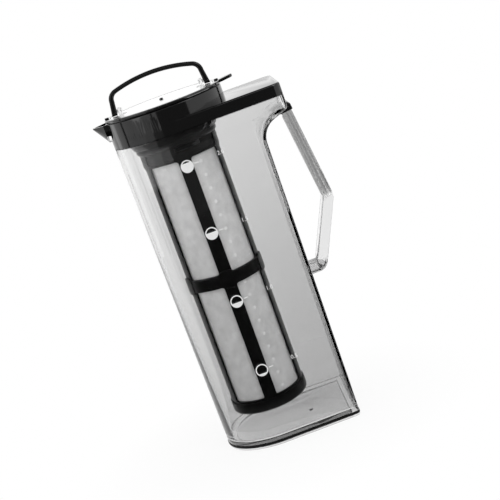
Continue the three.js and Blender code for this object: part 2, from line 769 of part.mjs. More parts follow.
// The bail in the plane of X and Z: legs that splay to their feet, rounded shoulders and
// an arched crown, thinner than the legs.
function bail() {
  const footZ = bailPivotZ - bailWidth / 2;
  const side = (footX, legX, top, round, arch) => {
    const centreZ = top - arch;
    const shoulderX = legX - round;
    const shoulderZ = centreZ + Math.sqrt((arch - round) ** 2 - shoulderX ** 2);
    const meet = Math.atan2(shoulderZ - centreZ, shoulderX);
    const points = [[footX, footZ]];
    for (let i = 0; i <= sweepSteps; i += 1) {
      const angle = mix(0, meet, i / sweepSteps);
      points.push([shoulderX + round * Math.cos(angle), shoulderZ + round * Math.sin(angle)]);
    }
    for (let i = 1; i < archSteps; i += 1) {
      const angle = mix(meet, halfTurn - meet, i / archSteps);
      points.push([arch * Math.cos(angle), centreZ + arch * Math.sin(angle)]);
    }
    for (let i = sweepSteps; i >= 0; i -= 1) {
      const angle = mix(0, meet, i / sweepSteps);
      points.push([-shoulderX - round * Math.cos(angle), shoulderZ + round * Math.sin(angle)]);
    }
    points.push([-footX, footZ]);
    return points;
  };
  const outer = side(bailFootOuter, bailShoulderOuter, bailTop, bailRound, bailArch);
  const inner = side(
    legInner,
    shoulderInner,
    bailTop - bailCrown,
    bailRound - bailCrown,
    bailArch - bailCrown,
  );
  const strap = sideProfile([...outer, ...inner.reverse()], bailWidth, bailBevel);
  const reach = bailFootOuter + overrun;
  const foot = bar(bailWidth / 2, -reach, reach, 'x', 0, bailPivotZ)
    .add(block(-reach, reach, -bailWidth, bailWidth, bailPivotZ, bailTop + overrun));
  const pinRoom = bailPinRadius + gap;
  const pinEnd = legInner + bailPinBite + gap;
  return strap.intersect(foot)
    .subtract(bar(pinRoom, -pinEnd, pinEnd, 'x', 0, bailPivotZ));
}

function bailBracket(side) {
  const earInner = earOuter - earThickness;
  const ear = new THREE.Shape();
  const foot = recessFloor + gap;
  const top = bailPivotZ + earRise;
  ear.moveTo(-bracketHalfWidth, foot);
  ear.lineTo(bracketHalfWidth, foot);
  ear.lineTo(bracketHalfWidth, foot + bracketThickness);
  ear.lineTo(earHalfWidth, bailPivotZ - earRise / 2);
  ear.lineTo(earHalfWidth, bailPivotZ);
  ear.lineTo(earHalfWidth - earRise / 2, top);
  ear.lineTo(earRise / 2 - earHalfWidth, top);
  ear.lineTo(-earHalfWidth, bailPivotZ);
  ear.lineTo(-earHalfWidth, bailPivotZ - earRise / 2);
  ear.lineTo(-bracketHalfWidth, foot + bracketThickness);
  ear.closePath();
  const upright = new THREE.ExtrudeGeometry(ear, { depth: earThickness, bevelEnabled: false });
  upright.rotateX(halfTurn / 2);
  upright.rotateZ(halfTurn / 2);
  upright.translate(side > 0 ? earInner : -earOuter, 0, 0);
  const reach = earOuter + overrun;
  return solid(upright)
    .add(bracketRoom(side, 0))
    .subtract(bar(bailPinRadius + gap, -reach, reach, 'x', 0, bailPivotZ));
}

function bailPin(side) {
  const earInner = earOuter - earThickness;
  const shank = [side * (earInner - gap), side * (legInner + bailPinBite)];
  const head = [side * (earInner - gap - bailPinHeadLength), side * (earInner - gap)];
  const round = (radius, [a, b]) => bar(radius, Math.min(a, b), Math.max(a, b), 'x', 0, bailPivotZ);
  return round(bailPinRadius, shank).add(round(bailPinHead, head));
}

// Radial prism with rounded corners, for the windows between the ribs and the pads.
function windowCutter(width, low, high, round = windowCorner) {
  const shape = new THREE.Shape();
  const half = width / 2;
  shape.moveTo(-half + round, low);
  shape.lineTo(half - round, low);
  shape.absarc(half - round, low + round, round, -halfTurn / 2, 0);
  shape.lineTo(half, high - round);
  shape.absarc(half - round, high - round, round, 0, halfTurn / 2);
  shape.lineTo(-half + round, high);
  shape.absarc(-half + round, high - round, round, halfTurn / 2, halfTurn);
  shape.lineTo(-half, low + round);
  shape.absarc(-half + round, low + round, round, halfTurn, halfTurn * 1.5);
  const prism = new THREE.ExtrudeGeometry(shape, {
    depth: footRingOuter + overrun,
    bevelEnabled: false,
    curveSegments: windowSteps,
  });
  prism.rotateX(halfTurn / 2);
  prism.rotateZ(halfTurn / 2);
  return solid(prism);
}

const bayAngle = 360 / ribCount;
const bayChord = 2 * cageOuter * Math.sin(degrees(bayAngle / 2) - Math.asin(ribWidth / 2 / cageOuter));

function infuserFrame() {
  const footTop = infuserBottom + footRingHeight;
  const ringTop = midRingLow + midRingHeight;
  const cage = tube(cageInner, cageOuter, infuserBottom, windowTop + windowCorner, infuserSteps);
  const neck = tube(neckInner, neckOuter, windowTop, neckTop, infuserSteps);
  const ledge = revolve([
    [cageInner, windowTop - windowCorner],
    [cageOuter, windowTop - windowCorner],
    [neckOuter, windowTop + windowCorner],
    [neckInner, windowTop + windowCorner],
  ], infuserSteps);
  const collarRing = revolve([
    [neckInner, collarRingLow],
    [neckOuter, collarRingLow],
    [collarRingOuter, collarRingLow + neckWall / 2],
    [collarRingOuter, collarRingLow + collarRingHeight],
    [neckInner, collarRingLow + collarRingHeight],
  ], infuserSteps);
  const footSolid = revolve([
    [cageInner - baseLip, infuserBottom],
    [footRingOuter - footRingRound, infuserBottom],
    [footRingOuter, infuserBottom + footRingRound],
    [footRingOuter, footTop],
    [cageInner, footTop],
    [cageInner, infuserBottom + baseLipThickness],
    [cageInner - baseLip, infuserBottom + baseLipThickness],
  ], infuserSteps);
  const midRing = tube(cageInner, midRingOuter, midRingLow, ringTop, infuserSteps);
  const padLow = midRingLow + (midRingHeight - padHeight) / 2;
  const pad = windowCutter(padWidth, padLow, padLow + padHeight, padWidth / 3)
    .intersect(tube(cageInner, midRingOuter + padProud, padLow, padLow + padHeight, infuserSteps));
  const lower = windowCutter(bayChord, windowBottom, midRingLow);
  const upper = windowCutter(bayChord, ringTop, windowTop);
  const recess = windowCutter(bayChord, windowTop + windowCorner, collarRingLow)
    .subtract(drum(neckOuter - panelRecess, windowTop, collarRingLow + overrun, infuserSteps));
  let frame = join(cage, neck, ledge, collarRing, footSolid, midRing);
  for (let i = 0; i < ribCount; i += 1) {
    const rib = ribTurn + i * bayAngle;
    const bay = rib + bayAngle / 2;
    frame = frame.add(pad.rotate([0, 0, rib]));
    frame = frame.subtract(lower.rotate([0, 0, bay]));
    frame = frame.subtract(upper.rotate([0, 0, bay]));
    frame = frame.subtract(recess.rotate([0, 0, bay]));
  }
  const slotHalf = lockLugWidth / 2 + lockSlack;
  const slotHigh = lockLugZ + lockLugHeight + lockSlack;
  const entry = block(
    neckInner - overrun,
    stemRadius + lockLugReach + lockSlack,
    -slotHalf,
    slotHalf,
    lockLugZ - lockSlack,
    neckTop + overrun,
  );
  const slotOuter = collarRingOuter + overrun;
  const slotEdge = Math.asin(slotHalf / stemRadius);
  const sector = [[0, 0]];
  for (let i = 0; i <= sweepSteps; i += 1) {
    const angle = mix(-slotEdge, slotEdge + degrees(lockTurn), i / sweepSteps);
    sector.push([slotOuter * Math.cos(angle), slotOuter * Math.sin(angle)]);
  }
  const lock = planProfile(sector, lockLugZ - lockSlack, slotHigh)
    .subtract(drum(stemRadius - stemWall, infuserBottom, neckTop, infuserSteps));
  for (let i = 0; i < lockCount; i += 1) {
    const turn = lockStart + (i * 360) / lockCount;
    frame = frame.subtract(lock.rotate([0, 0, turn - lockTurn]));
    frame = frame.subtract(entry.rotate([0, 0, turn - lockTurn]));
  }
  return frame;
}

// Rolled mesh sleeve inside the ribs, with a lapped seam along its length.
function meshSleeve() {
  const outer = cageInner - gap;
  const inner = outer - meshThickness;
  const low = infuserBottom + baseLipThickness + gap;
  const high = windowTop + windowCorner - gap;
  const seam = tube(inner - meshThickness, outer - meshThickness / 2, low, high, infuserSteps)
    .intersect(block(0, outer, -seamWidth / 2, seamWidth / 2, low, high));
  return tube(inner, outer, low, high, infuserSteps).add(seam.rotate([0, 0, ribTurn + seamTurn]));
}

const sleeveInner = cageInner - gap - 2 * meshThickness;
const baseMeshLow = infuserBottom + baseLipThickness + gap;

const meshBase = () =>
  drum(sleeveInner - gap, baseMeshLow, baseMeshLow + meshThickness, infuserSteps);

const meshClamp = () => tube(
  sleeveInner - gap - clampWidth,
  sleeveInner - gap,
  baseMeshLow + meshThickness + gap,
  baseMeshLow + meshThickness + gap + clampHeight,
  infuserSteps,
);

// Finishes: colour, roughness, metalness
const finish = (color, roughness, metalness = 0) =>
  new THREE.MeshStandardMaterial({ color, roughness, metalness });
const clearPlastic = new THREE.MeshStandardMaterial({
  color: 0xd4d6d8,
  roughness: 0.06,
  transparent: true,
  opacity: 0.35,
});
const blackPlastic = finish(0x101012, 0.14);
const blackRubber = finish(0x0c0c0d, 0.6);
const greySilicone = finish(0x2a2b2d, 0.55);
const satinSteel = finish(0xd8d9da, 0.28, 1);
const wovenSteel = finish(0xbcbdbe, 0.42, 1);

// Each piece with its name, its solid and its finish
const pieces = [
  ['jug_shell', jugShell(), clearPlastic],
  ['foot_band', footBand(), blackRubber],
  ['handle', handle(), clearPlastic],
  ['handle_boss', handleBoss(), blackPlastic],
  ['handle_pin', handlePin(), satinSteel],
  ['pour_cover', pourCover(), blackPlastic],
  ['cover_gasket', coverGasket(), greySilicone],
  ['lid_seal', lidSeal(), greySilicone],
  ['lid_disc', lidDisc(), blackPlastic],
  ['lid_plug', lidPlug(), blackPlastic],
  ['lid_plate', lidPlate(), satinSteel],
  ['lid_stud', lidStud(), blackPlastic],
  ['bail_bracket_left', bailBracket(-1), satinSteel],
  ['bail_bracket_right', bailBracket(1), satinSteel],
  ['bail_pin_left', bailPin(-1), satinSteel],
  ['bail_pin_right', bailPin(1), satinSteel],
  ['bail', bail(), blackPlastic],
  ['infuser_frame', infuserFrame(), blackPlastic],
  ['mesh_sleeve', meshSleeve(), wovenSteel],
  ['mesh_base', meshBase(), wovenSteel],
  ['mesh_clamp', meshClamp(), satinSteel],
];

// The origin is the middle of the footprint, so the beak's tip and the handle's elbow
// are equally far from it.
const group = new THREE.Group();
group.position.x = -(beakTipX + elbowReach) / 2;
for (const [name, body, material] of pieces) {
  const { vertProperties, triVerts } = body.getMesh();
  const geometry = new THREE.BufferGeometry();
  geometry.setAttribute('position', new THREE.Float32BufferAttribute(vertProperties, 3));
  geometry.setIndex(new THREE.Uint32BufferAttribute(triVerts, 1));
  geometry.computeVertexNormals();
  const mesh = new THREE.Mesh(geometry, material);
  mesh.name = name;
  group.add(mesh);
}

export default group;
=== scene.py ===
# Iced tea maker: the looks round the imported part. A clear jug with a bent handle, a black pour
# cover with a beak, a turning lid with a bail, and the mesh infuser that hangs from the lid.
from math import acos, asin, atan2, copysign, cos, degrees, hypot, pi, radians, sin, sqrt, tan

import bmesh
import bpy
from mathutils import Matrix, Vector


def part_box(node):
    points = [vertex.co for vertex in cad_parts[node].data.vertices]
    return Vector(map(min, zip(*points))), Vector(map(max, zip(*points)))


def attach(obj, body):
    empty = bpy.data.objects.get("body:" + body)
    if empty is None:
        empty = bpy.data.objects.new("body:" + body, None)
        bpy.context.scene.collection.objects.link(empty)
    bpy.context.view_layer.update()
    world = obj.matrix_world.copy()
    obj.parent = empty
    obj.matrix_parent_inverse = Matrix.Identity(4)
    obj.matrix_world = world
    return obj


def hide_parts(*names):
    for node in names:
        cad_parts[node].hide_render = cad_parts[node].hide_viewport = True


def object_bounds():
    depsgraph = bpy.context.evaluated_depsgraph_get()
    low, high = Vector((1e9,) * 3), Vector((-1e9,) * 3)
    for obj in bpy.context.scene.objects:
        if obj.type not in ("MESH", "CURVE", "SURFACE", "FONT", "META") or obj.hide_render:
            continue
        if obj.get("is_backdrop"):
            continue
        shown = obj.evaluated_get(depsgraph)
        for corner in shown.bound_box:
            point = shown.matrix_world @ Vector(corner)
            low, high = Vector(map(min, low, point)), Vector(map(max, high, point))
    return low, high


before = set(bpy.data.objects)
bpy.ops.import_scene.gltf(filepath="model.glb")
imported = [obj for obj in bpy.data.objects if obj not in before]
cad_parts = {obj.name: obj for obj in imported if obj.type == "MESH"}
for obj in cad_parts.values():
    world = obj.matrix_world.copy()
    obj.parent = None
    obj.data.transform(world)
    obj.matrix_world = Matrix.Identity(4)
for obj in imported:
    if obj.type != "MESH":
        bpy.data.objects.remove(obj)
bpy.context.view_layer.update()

# Jug shell. One moulding in clear smoke-grey plastic, round in front and flat behind, drawn back
# at the mouth over a shelf. It stands on a rim round a shallow hollow. A groove above that rim
# holds the foot band, a step at the mouth the cover's flange, and a lug on the back the pin.
mm = 0.001
lid_axis = sum(corner.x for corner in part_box("lid_plate")) / 2


def span(node):
    """Lowest and highest corner of a CAD node, in millimetres from the lid's axis."""
    return [(corner - Vector((lid_axis, 0, 0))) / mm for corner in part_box(node)]


def heights(node):
    return [corner.z for corner in span(node)]


mouth_back, mouth_radius, rim_top = span("jug_shell")[1]
foot_radius = mouth_radius - 2.7
foot_half = foot_radius - 1.9
mouth_half = mouth_radius - 2.7
wall = 2.8
seat_gap = 0.3
foot_back = 64.1
shoulder_back = 65.6
shelf_start = rim_top - 37.5
shelf_sweep = 16
shelf_end_round = 3.4
shelf_rise = 18
foot_corner, shelf_corner, mouth_corner = 4, 15, 8
floor_top, floor_fillet = 6, 3
foot_round, foot_rim, foot_hollow = 0.8, 5, 1.2
groove_low, groove_high, groove_depth = 1.6, 4, 1.4
rim_round, step_low, step_depth = 0.5, rim_top - 6.2, 1.4
lug_thickness = 8
pin_x, _, pin_z = sum(span("handle_pin"), Vector()) / 2
pin_hole = 1.9
bar_thickness = 8.4
gate_x, gate_y, gate_radius, gate_rise, gate_root = 27.9, -12, 1.6, 1.1, 1
past = 5
crease = radians(32)
front_steps, corner_steps, sweep_steps, edge_steps = 96, 10, 12, 4


def both(half):
    return -half, half


def mix(start, end, share):
    return start + (end - start) * share


def spread(start, end, steps):
    return [mix(start, end, i / steps) for i in range(steps + 1)]


def arc(x, z, radius, start, end, steps=edge_steps):
    """Points of an arc between two turns in degrees."""
    turns = spread(radians(start), radians(end), steps)
    return [(x + radius * cos(turn), z + radius * sin(turn)) for turn in turns]


def plan_ring(height, back, corner, inset):
    """One level of the jug, moved inwards by inset: a round front and two rounded back corners."""
    share = height / rim_top
    radius = mix(foot_radius, mouth_radius, share) - inset
    bend = max(corner - inset, seat_gap)
    bend_x = back - inset - bend
    bend_y = mix(foot_half, mouth_half, share) - inset - bend
    reach = hypot(bend_x, bend_y)
    meet = degrees(atan2(bend_y, bend_x) + acos((radius - bend) / reach))
    points = arc(bend_x, bend_y, bend, 0, meet, corner_steps)
    points += arc(0, 0, radius, meet, 360 - meet, front_steps)
    points += arc(bend_x, -bend_y, bend, 360 - meet, 360, corner_steps)
    return [Vector((x, y, height)) for x, y in points]


def wall_back(height):
    return mix(foot_back, shoulder_back, height / shelf_start)


def foot_ring(height, inset):
    return plan_ring(height, wall_back(height), foot_corner, inset)


def back_levels(inset):
    """Heights, back line and corner radius from under the shelf to its end wall."""
    turn_x, knee_x = shoulder_back + shelf_sweep, mouth_back - shelf_end_round
    rise_x, rise_z = cos(radians(shelf_rise)), sin(radians(shelf_rise))
    end_x, end_z = turn_x - shelf_sweep * rise_z, shelf_start + shelf_sweep * rise_x
    run = (knee_x + shelf_end_round * rise_z - end_x) / rise_x
    knee_z = end_z + run * rise_z + shelf_end_round * rise_x
    sweep = turn_x + inset, shelf_start, shelf_sweep + inset, 180, 90 + shelf_rise
    knee = knee_x + inset, knee_z, shelf_end_round - inset, shelf_rise - 90, 0
    levels = []
    for back, height in arc(*sweep, sweep_steps):
        share = (back - shoulder_back) / (mouth_back - shoulder_back)
        levels.append((height, back, mix(foot_corner, shelf_corner, share)))
    for i, (back, height) in enumerate(arc(*knee, sweep_steps)):
        levels.append((height, back, mix(shelf_corner, mouth_corner, i / sweep_steps)))
    return levels


def placed(name, data):
    body = bpy.data.objects.new(name, data)
    bpy.context.scene.collection.objects.link(body)
    return body


def solid(mesh):
    """A working solid, not yet a piece of the object."""
    bmesh.ops.recalc_face_normals(mesh, faces=mesh.faces)
    data = bpy.data.meshes.new("solid")
    mesh.to_mesh(data)
    mesh.free()
    return placed("solid", data)


def skin(rings, closed=False):
    """Solid through rings with the same count of points, capped flat or closed on itself."""
    mesh = bmesh.new()
    rows = [[mesh.verts.new(point) for point in ring] for ring in rings]
    pairs = list(zip(rows, rows[1:]))
    if closed:
        pairs.append((rows[-1], rows[0]))
    else:
        mesh.faces.new(rows[0])
        mesh.faces.new(rows[-1])
    for low_row, high_row in pairs:
        for i in range(len(low_row)):
            mesh.faces.new((low_row[i - 1], low_row[i], high_row[i], high_row[i - 1]))
    return solid(mesh)


def drawn_in(outline, inset):
    """An outline moved inwards all round, or outwards where inset is negative."""
    ahead = [*outline[1:], outline[0]]
    area = sum(x0 * z1 - x1 * z0 for (x0, z0), (x1, z1) in zip(outline, ahead))
    side = inset if area > 0 else -inset
    points = []
    for i, point in enumerate(outline):
        here = Vector(point)
        before = (here - Vector(outline[i - 1])).normalized()
        after = (Vector(ahead[i]) - here).normalized()
        across = Vector((-before.y - after.y, before.x + after.x)) / (1 + before.dot(after))
        points.append(here + across * side)
    return points


def slab(axis, outline, low, high, edge=0):
    """Solid of an outline across one axis, from low to high, with its edges rounded off."""
    order = {"x": (2, 0, 1), "y": (0, 2, 1), "z": (0, 1, 2)}[axis]
    levels = [(0, low), (0, high)]
    if edge:
        bend = [(edge - z, edge - x) for x, z in arc(0, 0, edge, 0, 90)]
        levels = [(inset, low + rise) for inset, rise in bend]
        levels += [(inset, high - rise) for inset, rise in reversed(bend)]
    rings = []
    for inset, level in levels:
        points = [(*point, level) for point in drawn_in(outline, inset)]
        rings.append([[point[i] for i in order] for point in points])
    return skin(rings)


def bar(axis, radius, low, high, across=0, height=0, edge=0, steps=48):
    return slab(axis, arc(across, height, radius, 0, 360, steps)[:-1], low, high, edge)


def evaluated(body):
    """The mesh that an object's modifiers or its font give."""
    bpy.context.view_layer.update()
    result = body.evaluated_get(bpy.context.evaluated_depsgraph_get())
    return bpy.data.meshes.new_from_object(result)


def work(body, operation, tools):
    """Joins tools to body, cuts them from it or keeps what they share, and uses them up."""
    for tool in tools:
        step = body.modifiers.new("step", "BOOLEAN")
        step.operation = operation
        step.solver = "MANIFOLD"
        step.object = tool
    done = evaluated(body)
    body.modifiers.clear()
    body.data = done
    for tool in tools:
        bpy.data.objects.remove(tool)
    return body


def fuse(body, *tools):
    return work(body, "UNION", tools)


def cut(body, *tools):
    return work(body, "DIFFERENCE", tools)


def keep(body, *tools):
    return work(body, "INTERSECT", tools)


def jug_outside(grow):
    foot = plan_ring(0, foot_back, foot_corner, -grow)
    rings = [plan_ring(z, back, corner, -grow) for z, back, corner in back_levels(0)]
    return skin([foot, *rings, plan_ring(rim_top, mouth_back, mouth_corner, -grow)])


def jug_rings():
    """The shell's rings: hollow underside, outside, rim, inside and floor."""
    under = foot_rim + foot_hollow
    foot = [(under + foot_hollow, foot_hollow), (under, 0)]
    foot += arc(foot_round, foot_round, foot_round, 270, 180)
    foot += [(0, groove_low), (groove_depth, groove_low)]
    foot += [(groove_depth, groove_high), (0, groove_high)]
    rings = [foot_ring(z, inset) for inset, z in foot]
    rings += [plan_ring(z, back, corner, 0) for z, back, corner in back_levels(0)]
    rim = [(0, step_low), (step_depth, step_low)]
    for x, turn in ((step_depth + rim_round, 180), (wall - rim_round, 90)):
        rim += arc(x, rim_top - rim_round, rim_round, turn, turn - 90)
    rings += [plan_ring(z, mouth_back, mouth_corner, inset) for inset, z in rim]
    rings += [plan_ring(z, back, corner, wall) for z, back, corner in reversed(back_levels(wall))]
    fillet_x, fillet_z = wall + floor_fillet, floor_top + floor_fillet
    rings += [foot_ring(z, x) for x, z in arc(fillet_x, fillet_z, floor_fillet, 180, 270)]
    return rings


lug_root, lug_half = wall_back(pin_z) - wall / 2, bar_thickness / 2
lug_end = arc(pin_x, pin_z, lug_half, -90, 90, corner_steps)
lug_outline = [(lug_root, pin_z - lug_half), *lug_end, (lug_root, pin_z + lug_half)]
lug = slab("y", lug_outline, *both(lug_thickness / 2))
gate_ends = floor_top - gate_root, floor_top + gate_rise
gate = bar("z", gate_radius, *gate_ends, gate_x, gate_y, gate_rise / 3)
jug = fuse(skin(jug_rings()), lug, gate)
cut(jug, bar("y", pin_hole, *both(lug_thickness), pin_x, pin_z))


class Reading:
    """A value read from a shader node. A sum on it adds the Math node that works it out."""

    def __init__(self, finish, socket):
        self.finish, self.socket = finish, socket

    def math(self, operation, first, second=0.0):
        return self.finish.node("Math", {0: first, 1: second}, operation=operation)

    def __add__(self, other):
        return self.math("ADD", self, other)

    __radd__ = __add__

    def __sub__(self, other):
        return self.math("SUBTRACT", self, other)

    def __rsub__(self, other):
        return self.math("SUBTRACT", other, self)

    def __mul__(self, other):
        return self.math("MULTIPLY", self, other)

    __rmul__ = __mul__

    def __pow__(self, other):
        return self.math("POWER", self, other)

    def wave(self, length):
        return self.math("SINE", self * (2 * pi / length))


class Finish:
    """A finish for one kind of surface: a material, or the world, and the nodes that make it."""

    def __init__(self, name, kind="materials"):
        self.made = getattr(bpy.data, kind).new(name)
        self.made.use_nodes = True
        self.tree = self.made.node_tree
        self.tree.nodes.clear()

    def node(self, kind, sockets=(), out=0, **settings):
        """Adds a node, sets it up, fills its sockets, and gives a reading of one output."""
        made = self.tree.nodes.new("ShaderNode" + kind)
        for name, value in settings.items():
            setattr(made, name, value)

        def find(group, key):
            if isinstance(key, int):
                return group[key]
            return next(socket for socket in group if socket.enabled and socket.name == key)

        for key, value in dict(sockets).items():
            if isinstance(value, Reading):
                self.tree.links.new(value.socket, find(made.inputs, key))
            else:
                find(made.inputs, key).default_value = value
        return Reading(self, find(made.outputs, out))

    def along(self, axis):
        """How far a point lies along one axis of the object, in millimetres from the lid's axis."""
        place = self.node("TexCoord", out="Object")
        reading = self.node("SeparateXYZ", {"Vector": place}, axis)
        return (reading - lid_axis if axis == "X" else reading) * (1 / mm)

    def grain(self, size, detail=2.0):
        """Noise with that size of grain in millimetres, from 0 to 1."""
        place = self.node("TexCoord", out="Object")
        return self.node("TexNoise", {"Vector": place, "Scale": 1 / (size * mm), "Detail": detail})

    def share(self, value, start, end):
        """0 where the value is at start and 1 where it is at end."""
        return self.node("MapRange", {"Value": value, "From Min": start, "From Max": end})

    def blend(self, share, first, second):
        greys = {"Factor": share, "A": grey(first), "B": grey(second)}
        return self.node("Mix", greys, "Result", data_type="RGBA")

    def bump(self, height, depth):
        return self.node("Bump", {"Height": height, "Distance": depth * mm})

    def ray(self, fact):
        return self.node("LightPath", out=fact)

    def done(self, surface, inside=None, kind="Material"):
        out = self.tree.nodes.new("ShaderNodeOutput" + kind)
        self.tree.links.new(surface.socket, out.inputs["Surface"])
        if inside:
            self.tree.links.new(inside.socket, out.inputs["Volume"])
        return self.made

    def plain(self, colour, rough, relief, more=(), inside=None):
        """Ends a finish with a principled shader, whose other sockets are in more."""
        sockets = {"Base Color": colour, "Roughness": rough, "Normal": relief, **dict(more)}
        return self.done(self.node("BsdfPrincipled", sockets), inside)


def grey(level):
    return (level, level, level, 1.0)


def clear_plastic(name, density, pale, shaded_grey, start, end):
    """Clear smoke-grey plastic, faintly uneven, whose colour carries painted shade that darkens it
    from one height to another.
    """
    finish = Finish(name)
    slope, smear, flow, flow_depth, smoke = 0.6, 3, 24, 0.04, 0.3
    height = finish.along("Z") - finish.along("X") * slope
    # Painted shade: the colour goes from pale to the shaded grey as the height, leaned along X,
    # falls.
    colour = finish.blend(finish.share(height, start, end), pale, shaded_grey)
    rough = 0.01 + 0.02 * finish.grain(smear)
    relief = finish.bump(finish.grain(flow), flow_depth)
    inside = finish.node("VolumeAbsorption", {"Color": grey(smoke), "Density": density})
    return finish.plain(colour, rough, relief, {"IOR": 1.5, "Transmission Weight": 1.0}, inside)


def piece(name, body, rides, slot, finish, *nodes):
    """Names a finished solid, puts it in place in metres, and lets it stand for its CAD nodes."""
    body.name = name
    body.data.name = name
    body.data.transform(Matrix.Translation((lid_axis, 0, 0)) @ Matrix.Scale(mm, 4))
    for face in body.data.polygons:
        face.use_smooth = True
    body.data.set_sharp_from_angle(angle=crease)
    body.data.materials.clear()
    body.data.materials.append(finish)
    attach(body, rides)
    if nodes:
        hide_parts(*nodes)


# Painted shade: the jug is coloured darker towards its foot and towards its back.
jug_plastic = clear_plastic(
    "clear_smoke_plastic", density=24.0, pale=0.95, shaded_grey=0.72, start=290, end=0
)
piece("jug", jug, "jug", "clear_plastic", jug_plastic, "jug_shell")
jug.visible_shadow = False

# Foot band. A matt black elastomer ring, pressed into the groove above the jug's foot, that
# stands a little proud and keeps the jug from slipping in a door tray.
band_proud, band_edge, band_root_edge = 0.25, 0.5, 0.2
band_low, band_high = groove_low + seat_gap / 3, groove_high - seat_gap / 3
band_deep = groove_depth - seat_gap


def rounded(*corners):
    """Outline of a polygon whose corners, each an x, a z and a radius, are rounded."""
    points = []
    for i, (x, z, radius) in enumerate(corners):
        here = Vector((x, z))
        if not radius:
            points.append(here)
            continue
        before = (Vector(corners[i - 1][:2]) - here).normalized()
        after = (Vector(corners[(i + 1) % len(corners)][:2]) - here).normalized()
        half = before.angle(after) / 2
        centre = here + (before + after).normalized() * (radius / sin(half))
        start = here + before * (radius / tan(half)) - centre
        end = here + after * (radius / tan(half)) - centre
        points += [centre + start.slerp(end, share) * radius for share in spread(0, 1, edge_steps)]
    return points


def matt_rubber(name, level):
    finish = Finish(name)
    patch, erosion, erosion_depth = finish.grain(9), finish.grain(0.6, 4.0), 0.03
    colour, rough = finish.blend(patch, level, level * 1.5), 0.5 + 0.2 * erosion
    return finish.plain(colour, rough, finish.bump(erosion, erosion_depth), {"IOR": 1.2})


band_outline = rounded(
    (-band_proud, band_low, band_edge),
    (band_deep, band_low, band_root_edge),
    (band_deep, band_high, band_root_edge),
    (-band_proud, band_high, band_edge),
)
band = skin([foot_ring(z, inset) for inset, z in band_outline], closed=True)
foot_rubber = matt_rubber("foot_rubber", level=0.004)
piece("foot_band_ring", band, "jug", "black_rubber", foot_rubber, "foot_band")

# Level marks. Four filled rings with a tick and a plain number of litres, screen-printed in
# white on the outside of the near wall, each half a litre above the one below.
marks = ((234.6, "2.0"), (179.5, "1.5"), (122.2, "1.0"), (63.1, "0.5"))
mark_x, mark_radius, mark_line = 2.0, 5.0, 0.9
tick_start, tick_end, tick_height = mark_x + mark_radius + 1, mark_x + mark_radius + 4.5, 0.8
number_x, number_rise, number_size = 29.5, 1.5, 4.6
ink_under, ink_over = 0.04, 0.08
print_step, fill_steps, font_steps = 1.0, 30, 4


def on_wall(point):
    """A point of a flat print, laid on the outside of the near wall."""
    ring = foot_ring(point.z, 0)
    for start, end in zip(ring, ring[1:]):
        if start.y < 0 and start.x <= point.x <= end.x:
            share = (point.x - start.x) / (end.x - start.x)
            return Vector((point.x, mix(start.y, end.y, share) + point.y, point.z))
    raise ValueError("that point is not on the near wall")


def merged(bodies, place=lambda point: point, slices=()):
    """One solid of several, cut upright at each slice, with each point moved by place."""
    mesh = bmesh.new()
    for body in bodies:
        mesh.from_mesh(body.data)
        bpy.data.objects.remove(body)
    for x in slices:
        everything = [*mesh.verts, *mesh.edges, *mesh.faces]
        bmesh.ops.bisect_plane(mesh, geom=everything, plane_co=(x, 0, 0), plane_no=(1, 0, 0))
    bmesh.ops.remove_doubles(mesh, verts=mesh.verts, dist=seat_gap / 100)
    for vertex in mesh.verts:
        vertex.co = place(vertex.co)
    return solid(mesh)


def box_outline(low_x, high_x, low_z, high_z, radius=0):
    corners = ((low_x, low_z), (high_x, low_z), (high_x, high_z), (low_x, high_z))
    return rounded(*[(x, z, radius) for x, z in corners])


def figures(text, height):
    """Raised numbers, standing upright round a height in the plane of X and Z."""
    font = bpy.data.curves.new("figures", "FONT")
    font.body = text
    font.size = number_size
    font.align_x = font.align_y = "CENTER"
    font.extrude = (ink_over + ink_under) / 2
    font.resolution_u = font_steps
    letters = placed("figures", font)
    data = evaluated(letters)
    bpy.data.objects.remove(letters)
    place = Matrix.Translation((number_x, (ink_under - ink_over) / 2, height))
    data.transform(place @ Matrix.Rotation(pi / 2, 4, "X"))
    return placed("figures", data)


def white_ink():
    finish = Finish("white_ink")
    patch, speck, speck_depth = finish.grain(1.2, 3.0), finish.grain(0.4), 0.01
    colour, rough = finish.blend(patch, 0.86, 0.94), 0.45 + 0.2 * patch
    return finish.plain(colour, rough, finish.bump(speck, speck_depth))


prints = []
for i, (height, number) in enumerate(marks, 1):
    ring = bar("y", mark_radius, -ink_over, ink_under, mark_x, height)
    cut(ring, bar("y", mark_radius - mark_line, -past, past, mark_x, height))
    level = degrees(asin(1 - 2 * i / (len(marks) + 1)))
    fill = arc(mark_x, height, mark_radius - mark_line / 2, 180 - level, 360 + level, fill_steps)
    fuse(ring, slab("y", fill, -ink_over, ink_under))
    tick = box_outline(tick_start, tick_end, height, height + tick_height)
    text = figures(number, height + number_rise)
    prints += [ring, slab("y", tick, -ink_over, ink_under), text]
print_low, print_high = mark_x - mark_radius, number_x + number_size
slices = spread(print_low, print_high, round((print_high - print_low) / print_step))
prints = merged(prints, on_wall, slices)
piece("level_marks", prints, "jug", "clear_plastic", white_ink())

# Handle. One bent bar in the jug's clear plastic: a grip behind the shelf's end, a sharp elbow,
# a strut, and a rounded heel whose fork takes the jug's lug.
bar_half, bar_thin_half, bar_round = 10, bar_thickness / 2, 1.9
flute_radius, flute_offset, flute_depth, flute_steps = 1.5, 1.7, 0.7, 40
grip_top_x, grip_drop = mouth_back - 0.9, 2.4
elbow_x, elbow_z = grip_top_x + 10.1, 169
elbow_reach = elbow_x + 3.7
heel_x, heel_bend = shoulder_back + 10.1, 4.8
shelf_low = next(z for z, back, _ in back_levels(0) if back > mouth_back - shelf_end_round)


def grip_x(height):
    return mix(elbow_x, grip_top_x, (height - elbow_z) / (shelf_low - elbow_z))


